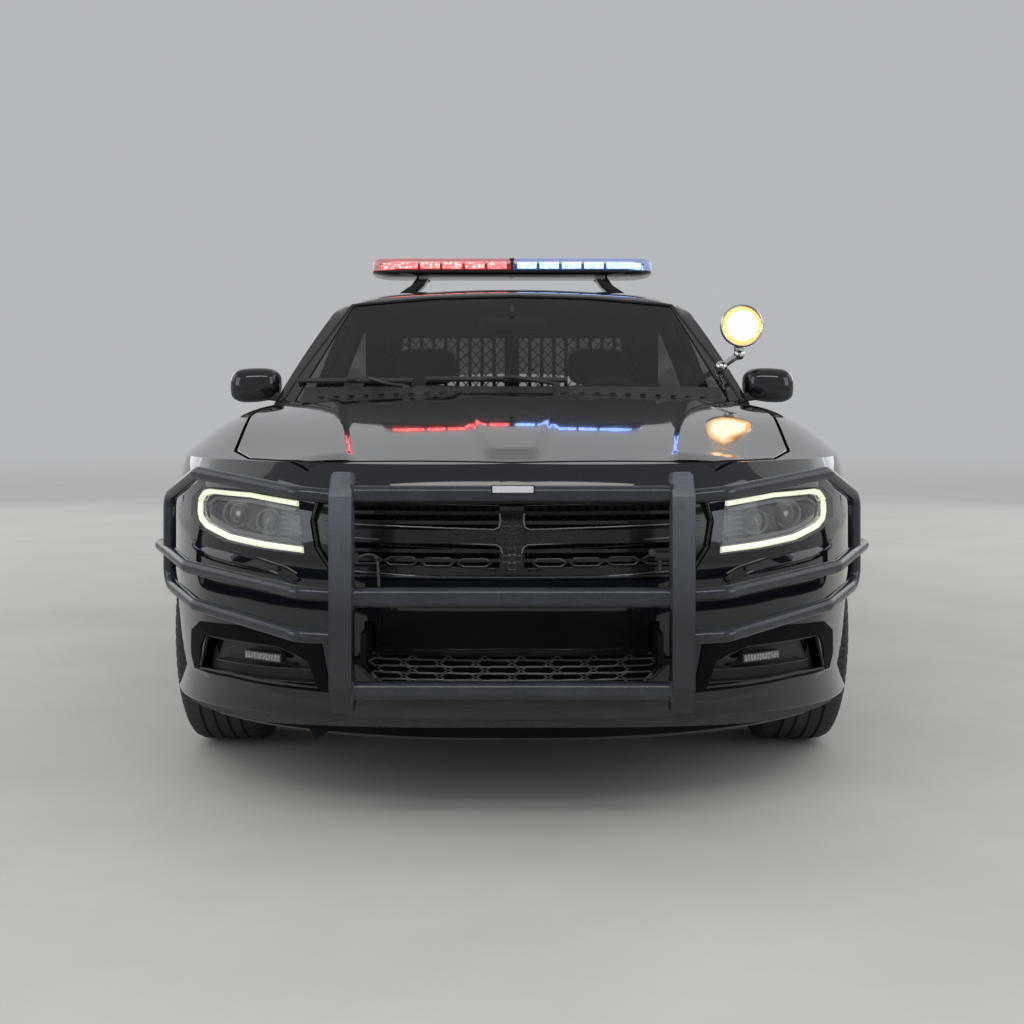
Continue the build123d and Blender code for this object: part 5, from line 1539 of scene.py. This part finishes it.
def cowl_panel():
    """The slotted panel between the bonnet's rear edge and the glass."""
    rows = []
    for n in range(41):
        x = -0.735 + 1.47 * n / 40
        start, end = cowl_reach(x)
        row = []
        for m in range(5):
            y = start + (end - start) * m / 4
            row.append(Vector((x, y, top_z(x, y) + 0.0025)))
        rows.append(row)
    loops = []
    for row in rows:
        loops.append(row + [p - Vector((0, 0, 0.0045)) for p in row[::-1]])
    pieces = [coated(smoothed(lofted(loops)), grained)]
    for n in range(26):
        x = -0.66 + 1.32 * n / 25
        start, end = cowl_reach(x)
        if end - start > 0.02:
            a, b = start + (end - start) * 0.25, start + (end - start) * 0.8
            z = (top_z(x, a) + top_z(x, b)) / 2 + 0.003
            pieces.append(coated(block((x - 0.008, a, z - 0.004), (x + 0.008, b, z + 0.001), 0.0008),
                                 rubber))
    return joined(*pieces)


placed(cowl_panel(), "cowl_panel", "car", None)


def screen_seal():
    """The rubber round the front screen's pillars and head."""
    right = [(0.800, 0.990), (0.752, 1.100), (0.610, 1.366), (0.300, 1.391), (0.0, 1.398)]
    outline = right + [(-x, z) for x, z in right[::-1][1:]]
    path = [screen_point(x * 1.008, z + 0.004, 0.0) for x, z in walked(outline, 10)[:-1]]
    return piped(path, 0.0052, 0.0, 8)


placed(screen_seal(), "screen_seal", "car", rubber)


# Doors: handles, belt trims and window seals

FRONT_WINDOW = ((-0.640, 1.002), (0.208, 1.004), (0.206, 1.372), (0.000, 1.364), (-0.212, 1.341))
REAR_WINDOW = ((0.314, 1.006), (1.161, 1.040), (1.236, 1.112), (1.120, 1.200), (0.880, 1.303),
               (0.600, 1.360), (0.316, 1.370))


def window_seal(outline):
    """A rubber line round a side window, for the driver's side."""
    cy = sum(p[0] for p in outline) / len(outline)
    cz = sum(p[1] for p in outline) / len(outline)
    path = []
    for y, z in walked(outline, 10, True):
        away = Vector((y - cy, z - cz)).normalized() * 0.006
        path.append(Vector((side_x(y + away.x, z + away.y, 1.0, -0.001), y + away.x, z + away.y)))
    return piped(path, 0.0048, 0.0, 8, True, (1, 0, 0))


def handle(low_y, high_y, z):
    """A pull handle on two feet."""
    points = []
    for n in range(13):
        t = n / 12
        y = low_y + (high_y - low_y) * t
        reach = 0.030 * min(1.0, math.sin(math.pi * t) * 2.2) ** 0.6 if 0 < n < 12 else -0.006
        points.append(Vector((side_x(y, z, 1.0, reach), y, z)))
    grip = smoothed(swept(eased(points, 0.02, 2), circle(0.0105, 12, 0.75), (0, 0, 1)), 50.0)
    cup = smoothed(ball((side_x((low_y + high_y) / 2, z, 1.0, -0.003), (low_y + high_y) / 2, z), 0.040,
                        (0.12, 1.5, 0.62), 28), 60.0)
    return [coated(cup, grained), coated(grip, paint)]


def belt(low_y, high_y, low_z, high_z):
    """The wiping strip along the foot of a side window."""
    path = []
    for n in range(21):
        y, z = low_y + (high_y - low_y) * n / 20, low_z + (high_z - low_z) * n / 20
        path.append(Vector((side_x(y, z, 1.0, 0.001), y, z)))
    return coated(smoothed(swept(path,
                                 [(-0.004, -0.008), (0.004, -0.006), (0.004, 0.006), (-0.004, 0.008)])),
                  rubber)


front_kit = joined(coated(window_seal(FRONT_WINDOW), rubber), *handle(0.010, 0.195, 0.850),
                   belt(-0.640, 0.205, 0.990, 0.993),
                   coated(smoothed(rod((side_x(0.215, 0.850, 1.0, -0.004), 0.215, 0.850),
                                       (side_x(0.215, 0.850, 1.0, 0.003), 0.215, 0.850), 0.009, 20, 0.001)),
                          steel))
rear_kit = joined(coated(window_seal(REAR_WINDOW), rubber), *handle(0.900, 1.085, 0.872),
                  belt(0.318, 1.150, 0.994, 1.028))
on_both_doors(front_kit, "door_fittings_front", "front")
on_both_doors(rear_kit, "door_fittings_rear", "rear")


def door_lining(low_y, high_y, slope):
    """The trim on a door's cabin side: an arm rest, a pull and a map pocket."""
    x = LINING_X
    rest = rounded_edges(block((x - 0.066, low_y + 0.22, 0.700), (x + 0.002, high_y - 0.10, 0.742)), 0.014,
                         3)
    pocket = rounded_edges(block((x - 0.050, low_y + 0.16, 0.350),
                                 (x + 0.002, high_y - 0.16 - slope, 0.470)), 0.012, 3)
    pull = piped([(x - 0.004, low_y + 0.30, 0.790), (x - 0.040, low_y + 0.32, 0.792),
                  (x - 0.040, low_y + 0.44, 0.796), (x - 0.004, low_y + 0.46, 0.796)], 0.009, 0.02, 12)
    return joined(coated(smoothed(rest), trim), coated(smoothed(pocket), trim), coated(pull, gloss_trim))


front_lining = door_lining(-0.760, 0.230, 0.0)
rear_lining = door_lining(0.320, 1.080, 0.12)
on_both_doors(front_lining, "door_lining_front", "front")
on_both_doors(rear_lining, "door_lining_rear", "rear")


# Body details


def body_details():
    """Red side lamps, the outline of a fuel flap and a roof aerial."""
    pieces = []
    for side in (1, -1):
        path = [Vector((side_x(y, 0.600, side, 0.0005), y, 0.600))
                for y in (2.120, 2.145, 2.170, 2.195, 2.220)]
        pieces.append(coated(smoothed(swept(path, circle(0.009, 10, 1.4))), lens_red))
    ring = []
    for n in range(24):
        a = 2 * math.pi * n / 24
        y, z = 1.720 + 0.085 * math.cos(a), 0.905 + 0.065 * math.sin(a)
        ring.append(Vector((side_x(y, z, 1.0, -0.0005), y, z)))
    pieces.append(coated(piped(ring, 0.0018, 0.0, 6, True, (1, 0, 0)), rubber))
    fin = []
    for y, tall, wide in ((0.700, 0.003, 0.012), (0.730, 0.014, 0.018), (0.770, 0.034, 0.020),
                          (0.800, 0.046, 0.014), (0.815, 0.040, 0.008)):
        base = top_z(0.0, y) - 0.003
        fin.append([Vector((-wide, y, base)), Vector((-wide * 0.55, y, base + tall * 0.6)),
                    Vector((0, y, base + tall)), Vector((wide * 0.55, y, base + tall * 0.6)),
                    Vector((wide, y, base))])
    pieces.append(coated(smoothed(lofted(fin), 50.0), paint))
    return joined(*pieces)


placed(body_details(), "body_details", "car", None)


def tail_line(points, out, radius, ring=False):
    """A round line along the tail, from (X, Z) points."""
    path = [Vector((x, tail_y(x, z, out), z)) for x, z in walked(points, 8, ring)]
    return piped(path, radius, 0.0, 8, ring)


def tail():
    """Red lamps with lit loops, reflectors, a blank number plate, a dark valance, pipe ends, a boot lip."""
    placed(merged("tail_lamps"), "tail_lamp_lenses", "car", lens_red, ("tail_lamps",))
    loop = [(0.660, 0.930), (0.842, 0.930), (0.842, 0.862), (0.660, 0.862)]
    glow = tail_line(loop, 0.0005, 0.0050, True)
    placed(both(glow), "tail_lamp_loops", "car", tail_glow)
    white = tail_line([(0.690, 0.897), (0.740, 0.897)], 0.0005, 0.010)
    seal = tail_line([(0.638, 0.947), (0.862, 0.947), (0.862, 0.843), (0.638, 0.843)], -0.001, 0.0036, True)
    strip = tail_line([(0.640, 0.430), (0.800, 0.430)], 0.001, 0.011)
    pieces = [coated(both(white), white_strobe), coated(both(seal), rubber), coated(both(strip), lens_red)]
    for side in (1, -1):
        pipe_end = (side * 0.520, 2.551, 0.285)
        tip = turned([(-0.090, 0.0445), (0.0, 0.0460), (0.005, 0.0480), (0.006, 0.0465), (0.003, 0.0430),
                      (-0.090, 0.0400)],
                     pipe_end, 48)
        pieces.append(coated(smoothed(tip, 40.0), chrome))
        inner = turned([(-0.080, 0.0400), (-0.070, 0.0400), (-0.070, 0.0001), (-0.080, 0.0001)],
                       pipe_end, 32)
        pieces.append(coated(inner, rubber))
    back = tail_y(0.0, 0.620)
    pieces.append(coated(smoothed(block((-0.170, back - 0.004, 0.545), (0.170, back + 0.008, 0.705), 0.006,
                                        3)), grained))
    pieces.append(coated(smoothed(block((-0.152, back + 0.006, 0.550), (0.152, back + 0.0105, 0.700),
                                        0.003)), label))
    for x in (-0.110, 0.110):
        for z in (0.565, 0.686):
            pieces.append(coated(rod((x, back + 0.010, z), (x, back + 0.0125, z), 0.0055, 14), steel))
    rows = []
    for z, lift in ((0.196, -0.002), (0.206, 0.005), (0.300, 0.005), (0.345, 0.004), (0.352, -0.003)):
        rows.append([Vector((x, tail_y(x, z, lift), z)) for x in [-0.440 + 0.044 * n for n in range(21)]])
    back_rows = [[p - Vector((0, 0.012, 0)) for p in row] for row in rows]
    pieces.append(coated(smoothed(lofted([a + b[::-1] for a, b in zip(rows, back_rows)])), grained))
    for n in range(5):
        x = -0.30 + 0.15 * n
        y = tail_y(x, 0.26)
        pieces.append(coated(rounded_edges(block((x - 0.004, y, 0.205), (x + 0.004, y + 0.022, 0.335)),
                                           0.002),
                             grained))
    placed(joined(*pieces), "tail_fittings", "car", None)
    lip = []
    for n in range(25):
        x = -0.585 + 1.17 * n / 24
        y = tail_y(x, 1.045, -0.050)
        z = top_z(x, y)
        rise = 0.020 * (1.0 - (abs(x) / 0.62) ** 4)
        lip.append([Vector((x, y - 0.080, top_z(x, y - 0.080) - 0.002)),
                    Vector((x, y - 0.020, z + rise * 0.65)), Vector((x, y + 0.012, z + rise)),
                    Vector((x, y + 0.018, z + rise - 0.004)), Vector((x, y + 0.012, z - 0.006))])
    lid = [coated(smoothed(lofted(lip), 40.0), paint)]
    grip = tail_line([(-0.200, 0.822), (0.200, 0.822)], 0.004, 0.012)
    lid.append(coated(grip, gloss_trim))
    y, z = tail_y(0.0, 0.850), 0.850
    eye = rod((0.0, y - 0.004, z), (0.0, y + 0.010, z), 0.011, 24, 0.002)
    lid.append(coated(smoothed(eye), gloss_trim))
    placed(joined(*lid), "boot_lid_fittings", "boot_lid", None)
    stop = rounded_edges(block((-0.150, 0.900, 1.352), (0.150, 0.935, 1.372)), 0.004)
    placed(smoothed(stop), "high_stop_lamp", "car", lens_red)


tail_glow = glowing("red_tail_light", (0.85, 0.03, 0.02), (1.0, 0.22, 0.14), 1.2, 120.0)
tail()


# Cabin


def cushion(size, power=5.0, seams=(), bolster=0.0, cuts=13):
    """A stuffed block about the origin: rounded, with sewn seams and raised side bolsters."""
    bpy.ops.mesh.primitive_cube_add(size=2.0, location=(0, 0, 0))
    obj = edited(bpy.context.object, ("subdivide", {"number_cuts": cuts}))
    for vertex in obj.data.vertices:
        u, v, w = vertex.co
        reach = (abs(u) ** power + abs(v) ** power + abs(w) ** power) ** (1.0 / power)
        u, v, w = u / reach, v / reach, w / reach
        lift = bolster * ridge(abs(u) - 0.70, 0.30) * (1 if w > 0 else 0)
        for seam in seams:
            lift -= 0.012 * math.exp(-((abs(u) - seam) / 0.045) ** 2) * (1 if w > 0 else 0)
        lift += 0.006 * (1 - u * u) * (1 - v * v) * (1 if w > 0 else -0.5)
        lift += 0.0012 * math.sin(23.0 * u + 11.0 * v) * (1 - abs(v))
        vertex.co = (u * size[0] / 2, v * size[1] / 2, w * size[2] / 2 + lift)
    return smoothed(obj, 60.0)


def stuffed(obj, matrix, name):
    """Puts a cushion in place, in seat cloth."""
    obj.data.transform(matrix)
    placed(obj, name, "car", cloth)


def lean(angle):
    """A turn in degrees round the X axis."""
    return Matrix.Rotation(math.radians(angle), 4, "X")


def front_seats():
    """Two front seats on runners: cushion, back and head restraint."""
    frames = []
    for name, side in SIDES:
        x = DRIVER_X * side
        stuffed(cushion((0.500, 0.500, 0.140), 5.0, (0.62,), 0.022), shifted(x, -0.110, 0.452),
                f"seat_cushion_{name}")
        back_turn = shifted(x, 0.190, 0.770) @ lean(106.0) @ Matrix.Rotation(math.pi, 4, "Z")
        stuffed(cushion((0.470, 0.620, 0.105), 5.0, (0.60,), 0.022), back_turn, f"seat_back_{name}")
        head_turn = shifted(x, 0.291, 1.155) @ lean(100.0)
        stuffed(cushion((0.260, 0.155, 0.082), 3.6, (), 0.0, 9), head_turn, f"head_restraint_{name}")
        frames.append(coated(rounded_edges(block((x - 0.190, -0.310, CABIN_FLOOR_Z),
                                                 (x + 0.190, 0.110, 0.388)), 0.010), trim))
        for dx in (-0.055, 0.055):
            frames.append(coated(rod((x + dx, 0.262, 1.010), (x + dx, 0.283, 1.110), 0.007, 12), chrome))
        frames.append(coated(smoothed(rounded_edges(block((x - 0.232, 0.145, 0.500),
                                                          (x + 0.232, 0.165, 0.560)), 0.008)),
                             trim))
    placed(joined(*frames), "seat_frames", "car", None, ("seats",))


def rear_bench():
    """The rear bench's cushion and back, each in three parts."""
    for name, x, wide in (("left", 0.420, 0.400), ("middle", 0.0, 0.420), ("right", -0.420, 0.400)):
        stuffed(cushion((wide, 0.485, 0.200), 5.5, (0.75,), 0.0), shifted(x, 0.810, 0.398),
                f"bench_cushion_{name}")
        turn = shifted(x, 1.135, 0.740) @ lean(106.0) @ Matrix.Rotation(math.pi, 4, "Z")
        stuffed(cushion((wide, 0.560, 0.110), 5.5, (0.75,), 0.0), turn, f"bench_back_{name}")
    base = []
    for side in (1, -1):
        low, high = sorted((side * 0.125, side * 0.450))
        base.append(coated(rounded_edges(block((low, 0.590, CABIN_FLOOR_Z), (high, 0.900, 0.300)), 0.008),
                           trim))
    shelf = rounded_edges(block((-0.600, 1.160, 0.990), (0.600, 1.300, 1.004)), 0.004)
    base.append(coated(shelf, carpet))
    placed(joined(*base), "bench_base", "car", None)


front_seats()
rear_bench()


def struts(lines, radius):
    """Many thin square bars as one mesh."""
    points, faces = [], []
    for a, b in lines:
        a, b = Vector(a), Vector(b)
        way = (b - a).normalized()
        side = way.cross(Vector((0, 1, 0))).normalized() * radius
        rise = way.cross(side).normalized() * radius
        base = len(points)
        for end in (a, b):
            points += [end + side, end + rise, end - side, end - rise]
        for n in range(4):
            m = (n + 1) % 4
            faces.append((base + n, base + m, base + 4 + m, base + 4 + n))
        faces += [(base, base + 3, base + 2, base + 1), (base + 4, base + 5, base + 6, base + 7)]
    return edited(drawn(points, faces), ("normals_make_consistent", {"inside": False}))


def lattice(low_x, high_x, low_z, high_z, y, pitch, radius):
    """A diamond mesh of crossing wires in a frame."""
    lines = []
    c = low_z - (high_x - low_x)
    while c < high_z:
        for way in (1, -1):
            ends = []
            for t in (0.0, 1.0):
                x = low_x + (high_x - low_x) * t
                ends.append((x, c + (x - low_x)))
            (x0, z0), (x1, z1) = ends
            if z0 < low_z:
                x0, z0 = x0 + (low_z - z0), low_z
            if z1 > high_z:
                x1, z1 = x1 - (z1 - high_z), high_z
            if x1 - x0 > 0.005:
                if way < 0:
                    x0, x1 = low_x + high_x - x0, low_x + high_x - x1
                lines.append(((x0, y, z0), (x1, y, z1)))
        c += pitch
    for x in (low_x, high_x):
        lines.append(((x, y, low_z), (x, y, high_z)))
    for z in (low_z, high_z):
        lines.append(((low_x, y, z), (high_x, y, z)))
    return struts(lines, radius)


placed(merged("partition"), "partition_frame", "car", trim, ("partition",))
mesh_pieces = [lattice(low, high, 0.905, 1.295, 0.4045, 0.044, 0.0022)
               for low, high in ((-0.555, -0.025), (0.025, 0.555))]
placed(mesh_pieces, "partition_mesh", "car", steel)


def dash():
    """The dash, its binnacle, vents, screen and stalks, the steering wheel's pad and the inside mirror."""
    pieces = [coated(merged("dashboard"), trim)]
    hood = smoothed(rounded_edges(block((0.215, -0.640, 0.930), (0.525, -0.500, 1.016)), 0.022, 4))
    pieces.append(coated(hood, trim))
    glass = block((0.235, -0.4995, 0.940), (0.505, -0.4965, 1.000), 0.001)
    pieces.append(coated(glass, gloss_trim))
    screen = smoothed(rounded_edges(block((-0.110, -0.478, 0.790), (0.110, -0.464, 0.915)), 0.006))
    pieces.append(coated(screen, gloss_trim))
    for x in (-0.680, -0.170, 0.170, 0.680):
        for n in range(4):
            z = 0.848 + 0.018 * n
            fin = block((x - 0.050, -0.478, z), (x + 0.050, -0.462, z + 0.004), 0.001)
            pieces.append(coated(fin, gloss_trim))
    turn = shifted(DRIVER_X, -0.380, 0.905) @ lean(-65.0)
    pad = cushion((0.180, 0.140, 0.052), 3.2, (), 0.0, 9)
    pad.data.transform(turn @ shifted(0, 0, 0.016))
    pieces.append(coated(pad, trim))
    for side in (1, -1):
        stalk = piped([(DRIVER_X + side * reach, y, z) for reach, y, z in
                       ((0.030, -0.440, 0.880), (0.130, -0.430, 0.905), (0.160, -0.425, 0.915))], 0.006,
                      0.02, 10)
        pieces.append(coated(stalk, gloss_trim))
    lever = smoothed(rounded_edges(block((-0.030, -0.420, 0.795), (0.030, -0.395, 0.830)), 0.008))
    pieces.append(coated(lever, gloss_trim))
    placed(joined(*pieces), "dash_assembly", "car", None, ("dashboard",))
    head = smoothed(rounded_edges(block((-0.122, -0.486, 1.258), (0.122, -0.460, 1.314)), 0.012, 4))
    face = block((-0.114, -0.4605, 1.264), (0.114, -0.4585, 1.308), 0.001)
    stem = piped([(0.0, -0.474, 1.300), (0.0, -0.480, 1.335), (0.0, -0.462, 1.349)], 0.008, 0.01, 10)
    placed([coated(head, gloss_trim), coated(face, silvered), coated(stem, trim)], "inside_mirror", "car",
           None)


dash()


# Stage, light and camera


def world_light():
    """A pale backdrop for what is seen, and a softer level for what lights the car."""
    world = bpy.data.worlds.new("sky")
    bpy.context.scene.world = world
    world.use_nodes = True
    tree = world.node_tree
    tree.nodes.clear()
    path = tree.nodes.new("ShaderNodeLightPath")
    seen = tree.nodes.new("ShaderNodeMath")
    seen.operation = "ADD"
    tree.links.new(path.outputs["Is Camera Ray"], seen.inputs[0])
    tree.links.new(path.outputs["Is Glossy Ray"], seen.inputs[1])
    through = tree.nodes.new("ShaderNodeMath")
    through.operation = "ADD"
    through.use_clamp = True
    tree.links.new(seen.outputs[0], through.inputs[0])
    tree.links.new(path.outputs["Is Transmission Ray"], through.inputs[1])
    pale = tree.nodes.new("ShaderNodeBackground")
    pale.inputs["Color"].default_value = BACKDROP
    pale.inputs["Strength"].default_value = 1.0
    soft = tree.nodes.new("ShaderNodeBackground")
    soft.inputs["Color"].default_value = (0.92, 0.96, 1.0, 1.0)
    soft.inputs["Strength"].default_value = 0.85
    mix = tree.nodes.new("ShaderNodeMixShader")
    tree.links.new(through.outputs[0], mix.inputs[0])
    tree.links.new(soft.outputs[0], mix.inputs[1])
    tree.links.new(pale.outputs[0], mix.inputs[2])
    output = tree.nodes.new("ShaderNodeOutputWorld")
    tree.links.new(mix.outputs[0], output.inputs["Surface"])


def lamp(name, place, aim, size, power, colour):
    """A flat lamp that faces a point."""
    data = bpy.data.lights.new(name, "AREA")
    data.shape = "RECTANGLE"
    data.size, data.size_y = size
    data.energy = power
    data.color = colour
    obj = bpy.data.objects.new(name, data)
    obj.location = place
    obj.visible_camera = False
    obj.rotation_euler = (Vector(aim) - Vector(place)).to_track_quat("-Z", "Y").to_euler()
    bpy.context.scene.collection.objects.link(obj)


world_light()
lamp("front_high", (0.0, -7.2, 5.6), (0.0, -1.4, 0.6), (7.0, 1.0), 130.0, (1.0, 0.98, 0.95))
for side in (-1, 1):
    lamp("front_side", (side * 7.5, -5.5, 3.2), (0.0, -1.6, 0.7), (4.0, 4.0), 110.0, (0.84, 0.92, 1.0))
    lamp("side", (side * 8.0, 1.5, 4.5), (0.0, 0.4, 0.6), (8.0, 4.5), 95.0, (1.0, 0.97, 0.92))
    lamp("rear_side", (side * 6.5, 7.0, 3.6), (0.0, 1.2, 0.7), (5.0, 4.0), 85.0, (0.95, 0.97, 1.0))


def floor_material():
    """A pale, faintly mottled floor that passes into the backdrop far from the car."""
    f = Finish("pale_floor")
    cloud = f.noise(1.2, 5.0, 0.6)
    base = f.blend(f.span(cloud, 0.3, 0.7), rgb(0.46, 0.435, 0.40), rgb(0.52, 0.495, 0.46))
    ground = f.surface(base_color=base, roughness=f.span(cloud, 0.4, 1.1, 0.80, 0.90),
                       specular_ior_level=0.1)
    place = f.add("ShaderNodeTexCoord", {}, {}, "Object")
    reach = f.add("ShaderNodeVectorMath", {"operation": "LENGTH"}, {0: place}, "Value")
    far = f.add("ShaderNodeEmission", {}, {"Color": BACKDROP, "Strength": 1.0})
    return f.done(f.add("ShaderNodeMixShader", {}, {0: f.span(reach, 5.0, 26.0), 1: ground, 2: far}))


bpy.ops.object.select_all(action="DESELECT")
bpy.ops.mesh.primitive_plane_add(size=600.0)
floor = bpy.context.object
floor.name = "floor"
coated(floor, floor_material())

# The photograph's camera: level, square to the nose, with its frame moved down
camera_data = bpy.data.cameras.new("camera")
camera = bpy.data.objects.new("camera", camera_data)
camera_data.lens = 47.46
camera_data.shift_y = -0.094
camera.location = (0.0, -5.512, 0.945)
camera.rotation_euler = (math.radians(90.0), 0.0, 0.0)
bpy.context.scene.collection.objects.link(camera)
bpy.context.scene.camera = camera
bpy.context.scene.view_settings.view_transform = "Standard"
